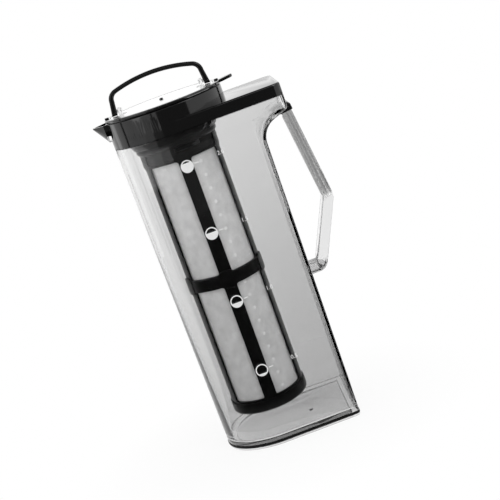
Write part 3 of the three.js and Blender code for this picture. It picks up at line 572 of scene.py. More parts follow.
def bent_bar(centre, section):
    """Bar of one section along a bent centre line, mitred where the line turns."""
    rings = []
    for i, here in enumerate(centre):
        before = (here - centre[max(i - 1, 0)]).normalized()
        after = (centre[min(i + 1, len(centre) - 1)] - here).normalized()
        along = (before + after).normalized()
        reach = 1 / along.dot(before if before.length else after)
        across = Vector((-along.y, along.x)) * reach
        points = [(y, here + across * out) for y, out in section]
        rings.append([(point.x, y, point.y) for y, point in points])
    return skin(rings)


heel_end = wall_back(pin_z) + seat_gap
lower_line = rounded((elbow_x, elbow_z, 0), (heel_x, pin_z, heel_bend), (heel_end, pin_z, 0))
grip_top = shelf_low - grip_drop
grip_line = [Vector((grip_x(grip_top), grip_top)), lower_line[0]]
section = box_outline(*both(bar_half), *both(bar_thin_half), bar_round)
handle = bent_bar([grip_line[0], *lower_line], section)
flute_out = bar_half + flute_radius - flute_depth
for side in (-1, 1):
    for offset in both(flute_offset):
        flute = arc(offset, flute_out, flute_radius, 0, 360, flute_steps)[:-1]
        cut(handle, bent_bar(grip_line, [(side * out, across) for across, out in flute]))
tip_outline = box_outline(
    elbow_reach, elbow_reach + bar_thickness, elbow_z - bar_thickness, elbow_z + bar_thickness
)
fork_top = pin_z + bar_thin_half + seat_gap
fork_outline = box_outline(
    wall_back(pin_z) - wall, heel_x + bar_thickness, pin_z - bar_thickness, fork_top
)
fork_room = slab("y", fork_outline, *both(lug_thickness / 2 + seat_gap))
pin_room = bar("y", pin_hole, *both(bar_half + past), pin_x, pin_z)
cut(handle, slab("y", tip_outline, *both(bar_half + past)), fork_room, pin_room)
# Painted shade: the grip above the elbow is coloured much darker than the strut and the heel.
handle_plastic = clear_plastic(
    "clear_handle_plastic", density=9.0, pale=0.97, shaded_grey=0.44, start=109, end=114
)
piece("bent_handle", handle, "jug", "clear_plastic", handle_plastic, "handle")

# Boss and pin. A small black cap on the top of the grip, wedged round the shelf's lower end, and
# the steel cross pin, with a small hexagon socket in each end, that holds the fork to the lug.
boss_proud, boss_height, boss_rise = 1.2, 3.6, 5
boss_tip_rise, boss_drop = 1.2, 1.3
boss_round, boss_tip_round, boss_edge = 0.6, 1, 0.8
pin_radius, pin_end, pin_edge = 1.6, bar_half - 0.4, 0.4
socket_radius, socket_depth, socket_sides = 0.9, 1.2, 6


def gloss_black(name, level=0.003, rough=0.07, index=1.5):
    """Black plastic from a polished mould: deep gloss with a faint ripple."""
    finish = Finish(name)
    patch, smear, ripple, ripple_depth = 30, 5, 14, 0.012
    colour = finish.blend(finish.grain(patch), level, level * 1.35)
    relief = finish.bump(finish.grain(ripple), ripple_depth)
    return finish.plain(colour, rough + 0.05 * finish.grain(smear, 4.0), relief, {"IOR": index})


def satin_steel(name, lines, rough=0.2, metal=1.0, bright=0.78):
    """Satin steel whose grinding lines follow a reading in millimetres."""
    finish = Finish(name)
    line_scale, line_depth = 12.0, 0.006
    vector = finish.node("CombineXYZ", {"X": lines(finish) * line_scale})
    brushed = finish.node("TexNoise", {"Vector": vector, "Scale": 1.0, "Detail": 4.0})
    colour, rough = finish.blend(brushed, bright, bright + 0.08), rough + 0.16 * brushed
    return finish.plain(colour, rough, finish.bump(brushed, line_depth), {"Metallic": metal})


boss_low, boss_tip = shelf_low - boss_height, shelf_low + boss_tip_rise
boss_side = bar_thin_half + boss_proud
boss_outline = rounded(
    (grip_x(boss_low) - boss_side, boss_low - boss_drop, boss_round),
    (grip_x(boss_low) + boss_side, boss_low, boss_round),
    (grip_x(boss_tip) + boss_side, boss_tip, boss_tip_round),
    (mouth_back + seat_gap, shelf_low + boss_rise, 0),
    (mouth_back - shelf_end_round, shelf_low + boss_rise, 0),
    (grip_x(shelf_low) - boss_side, shelf_low, 0),
)
boss = slab("y", boss_outline, *both(bar_half + boss_proud), boss_edge)
grip_lean = (elbow_x - grip_top_x) / (shelf_low - elbow_z)
pocket_top = grip_top + bar_thin_half * grip_lean + seat_gap
pocket_low, pocket_half = boss_low - boss_height, bar_thin_half + seat_gap
pocket_corners = (pocket_low, -1), (pocket_low, 1), (pocket_top, 1), (pocket_top, -1)
pocket_outline = [(grip_x(z) + side * pocket_half, z) for z, side in pocket_corners]
cut(boss, slab("y", pocket_outline, *both(bar_half + seat_gap)))
cut(boss, jug_outside(seat_gap))
piece("grip_boss", boss, "jug", "black_plastic", gloss_black("boss_black"), "handle_boss")


def ends(side, inner, outer):
    """Two distances along an axis on one side of the middle, the lower one first."""
    return sorted((side * inner, side * outer))


pin = bar("y", pin_radius, *both(pin_end), pin_x, pin_z, pin_edge)
for side in (-1, 1):
    depth = ends(side, pin_end - socket_depth, pin_end + past)
    cut(pin, bar("y", socket_radius, *depth, pin_x, pin_z, steps=socket_sides))
pin_steel = satin_steel("pin_steel", lambda finish: finish.along("Y"))
piece("heel_pin", pin, "jug", "satin_steel", pin_steel, "handle_pin")

# Pour cover. A gloss black moulding, pressed onto the mouth by a flange outside the rim's step
# and a skirt inside it: the deck that closes the shelf, the collar that holds the lid, the beak,
# a tube that the infuser passes through, and a strainer in front of the port.
deck_top = rim_top + 4
deck_round = 1.4
deck_thickness = 2.4
collar_top, collar_edge = rim_top + 15, 0.5
collar_inner = mouth_radius - 2.6
collar_floor = deck_top - deck_thickness
seat = rim_top + seat_gap
skirt_bottom = rim_top - 6
skirt_outer, skirt_inner = wall + 0.6, wall + 3.4
gasket_low = rim_top - 4.4
gasket_height, gasket_depth = 2.4, 1.4
strainer_outer = collar_inner - 2.2
tube_outer = strainer_outer - 6.4
bore = tube_outer - 2.2
tube_bottom, tube_taper = rim_top - 13, 1.7
strainer_count, strainer_half, strainer_pitch, strainer_round = 9, 1.4, 12, 1
beak_tip, beak_tip_half, beak_root_half = -58.5, 2.2, 13
beak_lip, beak_wall, beak_heel, hull_share = 1.1, 1.6, 1.8, 0.6
port_height = 6.6
turn_steps = 144


def turned(*outline, closed=False, steps=turn_steps):
    """Solid turned about the lid's axis from an outline of radii and heights."""
    turns = [(cos(turn), sin(turn)) for turn in spread(0, 2 * pi, steps)[:-1]]
    return skin([[(r * x, r * y, z) for x, y in turns] for r, z in outline], closed)


def ring_box(inner, outer, low, high, radius=0):
    return turned(*box_outline(inner, outer, low, high, radius), closed=True)


def disc_box(radius, low, high):
    return turned((radius, low), (radius, high))


def swung(body, turn):
    """Turns a body about the lid's axis, by degrees."""
    body.data.transform(Matrix.Rotation(radians(turn), 4, "Z"))
    return body


def mouth_ring(height, inset):
    ring = plan_ring(rim_top, mouth_back, mouth_corner, inset)
    return [(point.x, point.y, height) for point in ring]


def mouth_slab(inset, low, high):
    return skin([mouth_ring(low, inset), mouth_ring(high, inset)])


def beak(inset, lift):
    """The beak's solid, from inside the collar's wall out to its tip."""

    def section(x, half_width, low):
        narrow = max(half_width - inset, seat_gap)
        depth = collar_top - low - inset
        hull = []
        for down, across in arc(0, 0, 1, -90, 90, 2 * sweep_steps):
            drop = max(down, 0) ** hull_share
            hull.append((x, narrow * across, collar_top - depth * drop))
        top = collar_top + max(lift, seat_gap / 10)
        return [*hull, (x, narrow, top), (x, -narrow, top)]

    heel_half = beak_root_half * (1 + beak_heel / beak_tip)
    root = section(inset - collar_inner, beak_root_half, seat)
    heel = section(-mouth_radius - beak_heel, heel_half, seat)
    return skin([root, heel, section(beak_tip + inset, beak_tip_half, collar_top - beak_lip)])


deck_side = [(seat_gap, step_low + seat_gap), (0, step_low + 2 * seat_gap)]
deck_side += arc(deck_round, deck_top - deck_round, deck_round, 180, 90)
deck = skin([mouth_ring(z, inset) for inset, z in deck_side])
cut(deck, mouth_slab(step_depth - seat_gap, step_low - past, seat))
cut(deck, mouth_slab(skirt_inner, seat - past, collar_floor))
skirt = mouth_slab(skirt_outer, skirt_bottom, collar_floor)
cut(skirt, mouth_slab(skirt_inner, skirt_bottom - past, deck_top))
groove = mouth_slab(-past, gasket_low, gasket_low + gasket_height + 2 * seat_gap)
cut(skirt, cut(groove, mouth_slab(skirt_outer + gasket_depth, gasket_low - past, deck_top)))
collar = ring_box(collar_inner, mouth_radius, seat, collar_top, collar_edge)
cover_floor = disc_box(collar_inner, collar_floor - deck_thickness, collar_floor)
keep(cover_floor, mouth_slab(skirt_outer, collar_floor - past, collar_floor + past))
cover = fuse(deck, skirt, cover_floor, collar)
cut(cover, disc_box(collar_inner, collar_floor, collar_top + past))
tube = turned(
    (bore, tube_bottom),
    (tube_outer - tube_taper, tube_bottom),
    (tube_outer, tube_bottom + 2 * tube_taper),
    (tube_outer, collar_floor),
    (bore, collar_floor),
    closed=True,
)
spout = cut(beak(0, 0), disc_box(collar_inner, seat - past, collar_top + past))
trough = cut(beak(beak_wall, past), disc_box(mouth_radius, 0, collar_top + 2 * past))
fuse(cover, tube, spout)
port_ends = -mouth_radius - beak_heel, past - collar_inner
port_outline = box_outline(*port_ends, *both(beak_root_half - beak_wall))
port = slab("z", port_outline, collar_floor, collar_floor + port_height)
slot_ends = tube_outer + beak_wall, strainer_outer
slot_outline = box_outline(*slot_ends, *both(strainer_half), strainer_round)
slots = []
for i in range(strainer_count):
    slot = slab("z", slot_outline, collar_floor - past, collar_floor + past)
    slots.append(swung(slot, 180 + (i - (strainer_count - 1) / 2) * strainer_pitch))
cut(cover, disc_box(bore, tube_bottom - past, collar_top + past), trough, port, *slots)
piece("beaked_cover", cover, "cover", "black_plastic", gloss_black("cover_black"), "pour_cover")

# Gasket and lid seal. Two soft silicone rings: one round the cover's skirt in the jug's mouth,
# one round the lid's plug in the collar. Each has two lips that press on the wall.
lip_depth = 0.35
plug_radius, seal_thickness = collar_inner - 0.6, 1.2


def lipped(inner, outer, low, high):
    """Section of a ring whose outer side, at the second radius, has a hollow between two lips."""
    inwards = copysign(lip_depth, inner - outer)
    height = high - low
    return [
        (inner, low),
        (outer, low),
        (outer, low + height / 4),
        (outer + inwards, low + height / 2),
        (outer, high - height / 4),
        (outer, high),
        (inner, high),
    ]


gasket_inner = skirt_outer + gasket_depth - seat_gap
gasket_base = gasket_low + seat_gap
gasket_outline = lipped(gasket_inner, wall + seat_gap, gasket_base, gasket_base + gasket_height)
gasket = skin([mouth_ring(z, inset) for inset, z in gasket_outline], closed=True)
silicone = matt_rubber("grey_silicone", level=0.03)
piece("mouth_gasket", gasket, "cover", "grey_silicone", silicone, "cover_gasket")
seal_low, seal_high = heights("lid_seal")
seal_inner, seal_outer = plug_radius - seal_thickness + seat_gap, collar_inner - seat_gap
seal = turned(*lipped(seal_inner, seal_outer, seal_low, seal_high), closed=True)
piece("collar_seal", seal, "seal", "grey_silicone", silicone, "lid_seal")

# Lid disc. Gloss black plastic, flush with the collar, with a finger tab at the back and two
# small position marks on its rim. A recess takes the steel plate.
lid_top = collar_top + 3
disc_low = lid_top - 2.6
plate_radius, plate_low = mouth_radius - 5.2, lid_top - 0.8
recess_floor = plate_low - seat_gap
disc_edge = 0.7
tab_reach, tab_root_half, tab_tip_half = mouth_radius + 10.8, 5, 4
tab_thickness, tab_rise, tab_round = 2.4, 1.4, 3
nub_x, nub_length, nub_width, nub_height = mouth_radius - 2.2, 4.2, 3, 1.3
nub_reach, nub_edge = mouth_radius - 0.6, 0.4
stud_room, stud_root = 1.3, 1


def rim_side(radius, low, high, low_edge, high_edge):
    """Outer side of a turned piece, rounded off below and above."""
    below = arc(radius - low_edge, low + low_edge, low_edge, -90, 0)
    return below + arc(radius - high_edge, high - high_edge, high_edge, 0, 90)


disc = turned(
    *rim_side(mouth_radius, disc_low, lid_top, disc_edge, disc_edge),
    (plate_radius + seat_gap, lid_top),
    (plate_radius + seat_gap, recess_floor),
)
tab_outline = rounded(
    (collar_inner, -tab_root_half, 0),
    (tab_reach, -tab_tip_half, tab_round),
    (tab_reach, tab_tip_half, tab_round),
    (collar_inner, tab_root_half, 0),
)
tab = slab("z", tab_outline, disc_low, disc_low + tab_thickness, disc_edge)
for vertex in tab.data.vertices:
    vertex.co.z += tab_rise * (vertex.co.x - collar_inner) / (tab_reach - collar_inner)
cut(tab, disc_box(plate_radius + seat_gap, recess_floor, lid_top + past))
nubs = []
for side in (-1, 1):
    low, high = ends(side, nub_x - nub_length / 2, nub_x + nub_length / 2)
    outline = [(low, lid_top - nub_height), (high, lid_top - nub_height)]
    outline += [(x, lid_top + nub_height) for x in (high - nub_height / 2, low + nub_height / 2)]
    nub = slab("y", outline, *both(nub_width / 2), nub_edge)
    nubs.append(keep(nub, disc_box(nub_reach, disc_low, lid_top + past)))
fuse(disc, tab, *nubs)
cut(disc, bar("z", stud_room, recess_floor - stud_root, lid_top))
lid_black = gloss_black("lid_black")
piece("tabbed_disc", disc, "lid", "black_plastic", lid_black, "lid_disc")

# Lid plate and stud. A spun satin steel disc glued in the recess, cut out for the two brackets,
# and the small black stud at its middle.
pivot_z = lid_top + 3.5
leg, crown = 4.6, 3.5
foot_outer = collar_inner - 4.2
shoulder_outer = foot_outer - 1.8
ear_outer = shoulder_outer - (leg + crown) / 2 - seat_gap
ear_thickness, ear_half, ear_rise = 1.8, 3, 2.4
bracket_foot, bracket_half, bracket_thickness, bracket_round = 3.4, 4.6, 1.2, 0.8
plate_edge = 0.3
stud_shank, stud_head, stud_bend, stud_rim, stud_steps = 1, 1.7, 1.1, 0.3, 40


def bracket_room(side, more):
    low_high = ends(side, ear_outer - ear_thickness - bracket_foot - more, ear_outer + more)
    outline = box_outline(*low_high, *both(bracket_half + more), bracket_round)
    return slab("z", outline, plate_low - more, plate_low + bracket_thickness + more)


plate_rim = arc(plate_radius - plate_edge, lid_top - plate_edge, plate_edge, 0, 90)
plate = turned((plate_radius, plate_low), *plate_rim)
stud_hole = bar("z", stud_room, plate_low - past, lid_top + past)
cut(plate, stud_hole, bracket_room(-1, seat_gap), bracket_room(1, seat_gap))


def from_axis(finish):
    """How far a point lies from the lid's axis, in millimetres."""
    return (finish.along("X") ** 2.0 + finish.along("Y") ** 2.0) ** 0.5


spun_steel = satin_steel("spun_steel", from_axis)
piece("steel_plate", plate, "lid", "satin_steel", spun_steel, "lid_plate")
head_low = lid_top + seat_gap
stud = turned(
    (stud_shank, heights("lid_stud")[0]),
    (stud_shank, head_low),
    (stud_head, head_low),
    *arc(stud_head - stud_bend, head_low + stud_rim, stud_bend, 0, 80),
    steps=stud_steps,
)
piece("plate_stud", stud, "lid", "black_plastic", lid_black, "lid_stud")

# Lid plug. The black skirt under the disc that closes the collar, with a window that opens the
# port at rest, a groove for the seal, and the stem whose three lugs carry the infuser.
plug_top, plug_wall, plug_plate = disc_low - seat_gap, 2, 2
plug_skirt_low = collar_floor + 0.5
window_half = 14
window_top = seal_low - seat_gap - plug_wall
seal_room = 3 + seat_gap
stem_outer, stem_wall, stem_bottom = 29.3, 2, heights("lid_plug")[0]
lock_turns, lock_turn = (-62, 58, 178), 26
lock_z, lock_height, lock_reach, lock_half, lock_root = 246.4, 2.2, 1.4, 3.5, 1

plug = ring_box(plug_radius - plug_wall, plug_radius, plug_skirt_low, plug_top)
groove_floor = plug_radius - seal_thickness
backing = ring_box(groove_floor - plug_wall, plug_radius, window_top, plug_top)
fuse(plug, backing, disc_box(plug_radius, plug_top - plug_plate, plug_top))
window_ends = -plug_radius - past, -stem_outer - plug_wall
window_outline = box_outline(*window_ends, *both(window_half))
cut(
    plug,
    slab("z", window_outline, plug_skirt_low - past, window_top),
    ring_box(groove_floor, plug_radius + past, seal_low - seat_gap, seal_low + seal_room),
)
fuse(plug, ring_box(stem_outer - stem_wall, stem_outer, stem_bottom, plug_top))
lock_ends = stem_outer - lock_root, stem_outer + lock_reach
lock_outline = box_outline(*lock_ends, *both(lock_half))
for turn in lock_turns:
    fuse(plug, swung(slab("z", lock_outline, lock_z, lock_z + lock_height), turn))
piece("stemmed_plug", plug, "lid", "black_plastic", lid_black, "lid_plug")

# Bail, brackets and pins. A black carrying loop with a crowned top, thinner there than in its
# legs, that folds on two steel pins held by a small bracket inside each foot.
bail_top = lid_top + 25
bail_width, bail_round = 6.4, 1.7
arch, shoulder_round, arch_steps = 115, 9, 40
pin_shank, pin_head, head_length, pin_bite, head_edge = 1.2, 2, 0.9, 3.2, 0.4
ear_edge, ear_root_round, ear_waist_round, ear_top_round = 0.25, 0.3, 0.8, 1.8
leg_inner = foot_outer - leg


def loop_side(foot_x, leg_x, top, bend, radius):
    """One side of the loop: up the right leg, over the crown and down the left leg."""
    centre_z = top - radius
    bend_x = leg_x - bend
    bend_z = centre_z + sqrt((radius - bend) ** 2 - bend_x**2)
    meet = degrees(atan2(bend_z - centre_z, bend_x))
    right = [(foot_x, pivot_z - bail_width / 2), *arc(bend_x, bend_z, bend, 0, meet, sweep_steps)]
    top_points = arc(0, centre_z, radius, meet, 180 - meet, arch_steps)[1:-1]
    return [*right, *top_points, *[(-x, z) for x, z in reversed(right)]]


outer_side = loop_side(foot_outer, shoulder_outer, bail_top, shoulder_round, arch)
shoulder_inner, inner_round = shoulder_outer - (leg + crown) / 2, shoulder_round - crown
inner_side = loop_side(leg_inner, shoulder_inner, bail_top - crown, inner_round, arch - crown)
loop = [*outer_side, *reversed(inner_side)]
bail = slab("y", loop, *both(bail_width / 2), bail_round)
across = both(foot_outer + past)
foot_shape = bar("x", bail_width / 2, *across, 0, pivot_z)
above = box_outline(*both(bail_width), pivot_z, bail_top + past)
keep(bail, fuse(foot_shape, slab("x", above, *across)))
pin_ends = both(leg_inner + pin_bite + seat_gap)
cut(bail, bar("x", pin_shank + seat_gap, *pin_ends, 0, pivot_z))
bail_black = gloss_black("bail_black", rough=0.2, index=1.3)
piece("carrying_bail", bail, "bail", "black_plastic", bail_black, "bail")
bail_steel = satin_steel(
    "bail_steel", lambda finish: finish.along("X"), rough=0.5, metal=0.1, bright=0.92
)
ear_side = [
    (bracket_half, plate_low, 0),
    (bracket_half, plate_low + bracket_thickness, ear_root_round),
    (ear_half, pivot_z - ear_rise / 2, ear_waist_round),
    (ear_half, pivot_z + ear_rise, ear_top_round),
]
ear_outline = rounded(*ear_side, *[(-x, z, radius) for x, z, radius in reversed(ear_side)])
for side, name in ((-1, "left"), (1, "right")):
    ear = slab("x", ear_outline, *ends(side, ear_outer - ear_thickness, ear_outer), ear_edge)
    bracket = fuse(ear, bracket_room(side, 0))
    cut(bracket, bar("x", pin_shank + seat_gap, *across, 0, pivot_z))
    nodes = "bail_bracket_" + name, "bail_pin_" + name
    piece("ear_" + name, bracket, "lid", "satin_steel", bail_steel, nodes[0])
    head = ear_outer - ear_thickness - seat_gap
    shank_ends = ends(side, head - head_length / 2, leg_inner + pin_bite)
    bail_pin = bar("x", pin_shank, *shank_ends, 0, pivot_z)
    head_ends = ends(side, head - head_length, head)
    fuse(bail_pin, bar("x", pin_head, *head_ends, 0, pivot_z, head_edge))
    piece("pivot_pin_" + name, bail_pin, "lid", "satin_steel", bail_steel, nodes[1])

# Infuser frame. A black nylon cage in one moulding: a neck with panels sunk between its ribs, a
# collar ring, five ribs with a rounded pad each on the middle ring, and a foot ring. Slots in
# the neck turn onto the stem's lugs.
frame_bottom, frame_top = heights("infuser_frame")
neck_outer, neck_inner = 31.8, 29.9
cage_outer, cage_inner = 31, 29
collar_ring, collar_low, collar_high = 33.3, 249.4, 255.6
rib_count, rib_width, rib_turn = 5, 10.4, -87.5
bay_top, bay_bottom, bay_corner = 238.6, 35.4, 2
bay_flare = 0.4
neck_edge, lead_in, lead_low, lead_high = 0.5, 0.3, 0.8, 1.2
middle_low, middle_high, middle_outer, middle_edge = 132.6, 143, 31.9, 0.6
pad_width, pad_height, pad_outer, pad_edge = 13, 15, 32.4, 0.9
foot_top, foot_ring_outer, foot_low_edge, foot_top_edge = 33.8, 32.1, 1.8, 0.4
panel_depth, ledge_depth, ledge_thickness = 1, 3, 1.6
slack = 0.4
bay_pitch = 360 / rib_count
bay_half_turn = radians(bay_pitch / 2) - asin(rib_width / 2 / cage_outer)
bay_chord = 2 * cage_outer * sin(bay_half_turn)


def bay(width, low, high, radius, turn, flare=0):
    """Radial cutter with rounded corners that widens by flare towards the outside."""
    outline = box_outline(*both(width / 2), low, high, radius)
    stations = (0, 0), (cage_outer - flare, 0), (cage_outer + 3 * flare + past, 4 * flare)
    rings = []
    for reach, more in stations:
        rings.append([(reach, y, z) for y, z in drawn_in(outline, -more)])
    return swung(skin(rings), turn)


cage = ring_box(cage_inner, cage_outer, frame_bottom, bay_top + bay_corner)
neck = turned(
    (neck_inner, bay_top),
    (cage_outer, bay_top - bay_corner),
    (neck_outer, bay_top + bay_corner),
    (neck_outer, collar_low),
    (collar_ring - lead_in, collar_low + lead_low),
    (collar_ring, collar_low + lead_high),
    (collar_ring, collar_high - neck_edge),
    (collar_ring - neck_edge, collar_high),
    (neck_outer, collar_high),
    *arc(neck_outer - neck_edge, frame_top - neck_edge, neck_edge, 0, 90),
    (neck_inner, frame_top),
    closed=True,
)
foot = turned(
    (cage_inner - ledge_depth, frame_bottom),
    *rim_side(foot_ring_outer, frame_bottom, foot_top, foot_low_edge, foot_top_edge),
    (cage_inner, foot_top),
    (cage_inner, frame_bottom + ledge_thickness),
    (cage_inner - ledge_depth, frame_bottom + ledge_thickness),
    closed=True,
)
middle_ring = turned(
    (cage_inner, middle_low),
    *rim_side(middle_outer, middle_low, middle_high, middle_edge, middle_edge),
    (cage_inner, middle_high),
    closed=True,
)
pads, bays = [], []
pad_low = (middle_low + middle_high - pad_height) / 2
for i in range(rib_count):
    rib = rib_turn + i * bay_pitch
    pad = bay(pad_width, pad_low, pad_low + pad_height, pad_width / 3, rib)
    pads.append(keep(pad, ring_box(cage_inner, pad_outer, pad_low, pad_low + pad_height, pad_edge)))
    turn = rib + bay_pitch / 2
    for low, high in ((bay_bottom, middle_low), (middle_high, bay_top)):
        bays.append(bay(bay_chord, low, high, bay_corner, turn, bay_flare))
    sunk = bay(bay_chord, bay_top + bay_corner, collar_low, bay_corner, turn)
    bays.append(cut(sunk, disc_box(neck_outer - panel_depth, bay_top, collar_low + past)))
room = lock_half + slack
entry_ends = neck_inner - past, stem_outer + lock_reach + slack
entry_outline = box_outline(*entry_ends, *both(room))
edge = degrees(asin(room / stem_outer))
sector = [(0, 0), *arc(0, 0, collar_ring + past, -edge, edge + lock_turn, sweep_steps)]
for turn in lock_turns:
    entry = slab("z", entry_outline, lock_z - slack, frame_top + past)
    lock = slab("z", sector, lock_z - slack, lock_z + lock_height + slack)
    cut(lock, disc_box(stem_outer - stem_wall, frame_bottom, frame_top))
    bays += [swung(tool, turn - lock_turn) for tool in (entry, lock)]
fuse(cage, neck, foot, middle_ring, *pads)
cut(cage, *bays)
frame_black = gloss_black("frame_black", level=0.004, rough=0.26, index=1.3)
piece("infuser_cage", cage, "infuser", "black_plastic", frame_black, "infuser_frame")

# Mesh. Fine woven steel rolled into a sleeve behind the ribs, lapped and tack-welded along one
# bay, with a flat disc at the bottom that a clamp ring holds down.
mesh_thickness = 0.6
sleeve_outer = cage_inner - seat_gap
sleeve_low, sleeve_high = heights("mesh_sleeve")
seam_half, seam_turn = 3.5, rib_turn + 24.5
weave_pitch = 0.5
tack_low, tack_high, tack_pitch = bay_bottom + 4, bay_top - 6, 11.1
tack_radius, tack_rise, tack_steps = 1.5, 0.3, 16
tack_dome = ((1, 0), (0.8, 0.6), (0.4, 1))
clamp_width, clamp_height, clamp_edge = 2.6, 2.2, 0.5


def woven(name, across, along):
    """Plain weave of fine steel wire; across and along read a point's place in millimetres."""
    finish = Finish(name)
    wires = across(finish).wave(weave_pitch) * along(finish).wave(weave_pitch)
    cloud, wire_depth = finish.grain(7, 3.0), 0.03
    colour = finish.blend(0.5 + 0.2 * wires + 1.8 * (cloud - 0.5), 0.73, 0.96)
    relief = finish.bump(wires, wire_depth)
    return finish.plain(colour, 0.36 + 0.1 * cloud, relief, {"Metallic": 0.1})


def round_sleeve(finish):
    x, y = finish.along("X"), finish.along("Y")
    return x.math("ARCTAN2", y, x) * sleeve_outer


sleeve = ring_box(sleeve_outer - mesh_thickness, sleeve_outer, sleeve_low, sleeve_high)
lap_inner, lap_outer = sleeve_outer - 2 * mesh_thickness, sleeve_outer - mesh_thickness / 2
lap = ring_box(lap_inner, lap_outer, sleeve_low, sleeve_high)
keep(lap, slab("z", box_outline(0, cage_outer, *both(seam_half)), 0, rim_top))
fuse(sleeve, swung(lap, seam_turn))
sleeve_mesh = woven("sleeve_weave", round_sleeve, lambda finish: finish.along("Z"))
piece("rolled_mesh", sleeve, "infuser", "woven_steel", sleeve_mesh, "mesh_sleeve")
base_radius = sleeve_outer - 2 * mesh_thickness - seat_gap
base_low, base_high = heights("mesh_base")
base = disc_box(base_radius, base_low, base_high)
base_mesh = woven("base_weave", lambda finish: finish.along("X"), lambda finish: finish.along("Y"))
piece("bottom_mesh", base, "infuser", "woven_steel", base_mesh, "mesh_base")
clamp_inner, clamp_low = base_radius - clamp_width, base_high + seat_gap
clamp = ring_box(clamp_inner, base_radius, clamp_low, clamp_low + clamp_height, clamp_edge)
clamp_steel = satin_steel("clamp_steel", from_axis)
piece("clamp_ring", clamp, "infuser", "satin_steel", clamp_steel, "mesh_clamp")
tacks = []
dome = [(tack_radius * out, tack_rise * up) for out, up in tack_dome]
for z in spread(tack_low, tack_high, round((tack_high - tack_low) / tack_pitch)):
    tack = turned((tack_radius, -mesh_thickness / 2), *dome, steps=tack_steps)
    place = Matrix.Translation((sleeve_outer, 0, z))
    tack.data.transform(place @ Matrix.Rotation(pi / 2, 4, "Y"))
    tacks.append(swung(tack, seam_turn))
tack_steel = satin_steel(
    "tack_steel", lambda finish: finish.along("Z"), rough=0.4, metal=0.0, bright=0.99
)
piece("seam_tacks", merged(tacks), "infuser", "satin_steel", tack_steel)

# Studio. A white floor and an even white surround, two soft lamps, cards that show only in
# reflections and some also through clear plastic, and the camera of the photograph, which is
# rolled so that the jug leans to the left.
camera_place = Vector((0.00327, -1.0895, 0.3685))
camera_pitch, camera_roll = radians(11.46), radians(19.88)
camera_lens, sensor = 99.34, 36
surround = 0.55
floor_radius = 6.0
floor_grey, shadow_share, shadow_end = 0.9, 0.1, 170.0
white, dark = 1.0, 0.0
# Each card: name, two turns, near and far edge as radius and height, grey, shown through plastic.
cards = (
    ("floor_card_0", -90, 90, (0.085, 0.0005), (1.5, 0.0005), dark, True),
    ("floor_card_1", 102, 122, (0.085, 0.0006), (3.5, 0.0006), dark, True),
    ("top_card", -180, 180, (0.001, 1.2), (0.6, 1.2), dark, False),
    ("wall_card_0", -17, 42, (0.9, 0), (0.9, 0.6), 0.1, True),
    ("wall_card_1", 47, 104, (0.9, 0), (0.9, 0.15), 5.0, False),
    ("wall_card_2", 104, 124, (0.9, 0), (0.9, 0.13), dark, False),
    ("wall_card_3", 150, 176, (0.9, 0), (0.9, 0.13), dark, False),
    ("wall_card_4", -34, -17, (0.9, 0), (0.9, 0.3), 0.25, False),
    ("wall_card_5", -52, -34, (0.9, 0), (0.9, 0.3), 0.8, False),
    ("wall_card_6", -128, -116, (0.9, 0), (0.9, 0.3), 1.8, False),
    ("wall_card_7", -138, -134, (0.9, 0), (0.9, 0.13), dark, False),
    ("wall_card_8", -96, -92, (0.9, 0), (0.9, 0.6), dark, False),
    ("wall_card_9", -28, -25, (0.9, 0), (0.9, 0.6), dark, False),
    ("wall_card_10", 150, 210, (0.9, 0.33), (0.9, 0.62), 1.35, False),
    ("flag_0", 128, 136, (1.0, 0.001), (1.0, 0.7), dark, True),
)
lamps = (
    ("key_lamp", (1.1, -1.0, 1.3), 1.0, 8.0),
    ("fill_lamp", (-1.3, -0.8, 0.9), 1.2, 5.0),
)

optics = bpy.data.cameras.new("camera")
optics.lens = camera_lens
optics.sensor_width = sensor
camera = placed("camera", optics)
camera.matrix_world = (
    Matrix.Translation(camera_place)
    @ Matrix.Rotation(pi / 2 - camera_pitch, 4, "X")
    @ Matrix.Rotation(-camera_roll, 4, "Z")
)
bpy.context.scene.camera = camera
bpy.context.scene.view_settings.view_transform = "Standard"

look_at = Vector((0, 0, rim_top * mm / 2))
for name, place, size, power in lamps:
    lamp = bpy.data.lights.new(name, "AREA")
    lamp.shape = "DISK"
    lamp.size = size
    lamp.energy = power
    holder = placed(name, lamp)
    holder.location = place
    holder.rotation_euler = (Vector(place) - look_at).to_track_quat("Z", "Y").to_euler()
    holder.visible_camera = False
    holder.visible_transmission = False


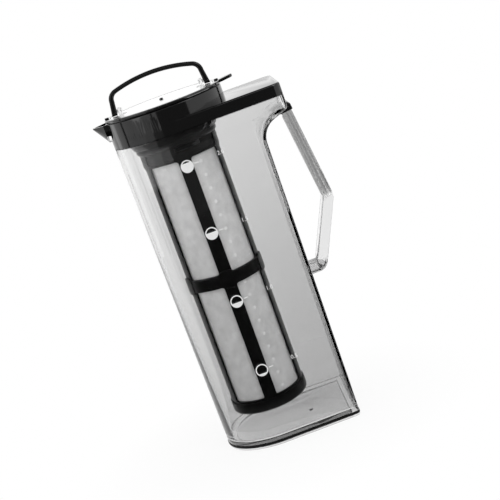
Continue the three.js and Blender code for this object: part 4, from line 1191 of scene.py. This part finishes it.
def seen(finish):
    """1 where the eye, a reflection or clear plastic meets the surface, 0 for plain light."""
    kinds = "Camera", "Glossy", "Transmission"
    eye, mirror, clear = [finish.ray(f"Is {kind} Ray") for kind in kinds]
    return eye.math("MAXIMUM", eye, mirror.math("MAXIMUM", mirror, clear))


def studio_white():
    """White floor that keeps the object's shadow near it and glows evenly further out."""
    finish = Finish("studio_white")
    plain = finish.node("BsdfDiffuse", {"Color": grey(floor_grey)})
    glow = finish.node("Emission", {"Color": grey(white)})
    fade = finish.share(from_axis(finish), shadow_end, mouth_radius)
    glowing = seen(finish) * (1 - shadow_share * fade)
    return finish.done(finish.node("MixShader", {0: glowing, 1: plain, 2: glow}))


def card(name, start, end, near, far, level, clear):
    """A card between two arcs, each a radius and a height, that only reflections show."""
    mesh = bmesh.new()
    rows = []
    for radius, height in (near, far):
        points = arc(lid_axis, 0, radius, start - 90, end - 90, 2 * sweep_steps)
        rows.append([mesh.verts.new((x, y, height)) for x, y in points])
    for i in range(1, len(rows[0])):
        mesh.faces.new((rows[0][i - 1], rows[0][i], rows[1][i], rows[1][i - 1]))
    body = solid(mesh)
    body.name = name
    finish = Finish(name)
    soft, mirrored = finish.ray("Diffuse Depth"), finish.ray("Glossy Depth")
    plain = soft.math("GREATER_THAN", soft, 0.5) + soft.math("LESS_THAN", mirrored, 0.5)
    strength = level + (1 - level) * soft.math("MINIMUM", plain, 1.0)
    tone = finish.node("Emission", {"Color": grey(white), "Strength": strength})
    body.data.materials.append(finish.done(tone))
    body.visible_camera = body.visible_diffuse = body.visible_shadow = False
    body.visible_transmission = clear
    body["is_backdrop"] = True


floor_mesh = bmesh.new()
bmesh.ops.create_circle(floor_mesh, cap_ends=True, segments=turn_steps, radius=floor_radius)
studio_floor = solid(floor_mesh)
studio_floor.name = "studio_floor"
studio_floor.data.materials.append(studio_white())
studio_floor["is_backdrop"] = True
for row in cards:
    card(*row)

surroundings = Finish("studio", "worlds")
strength = surround + (1 - surround) * seen(surroundings)
background = surroundings.node("Background", {"Color": grey(white), "Strength": strength})
bpy.context.scene.world = surroundings.done(background, kind="World")

low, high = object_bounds()
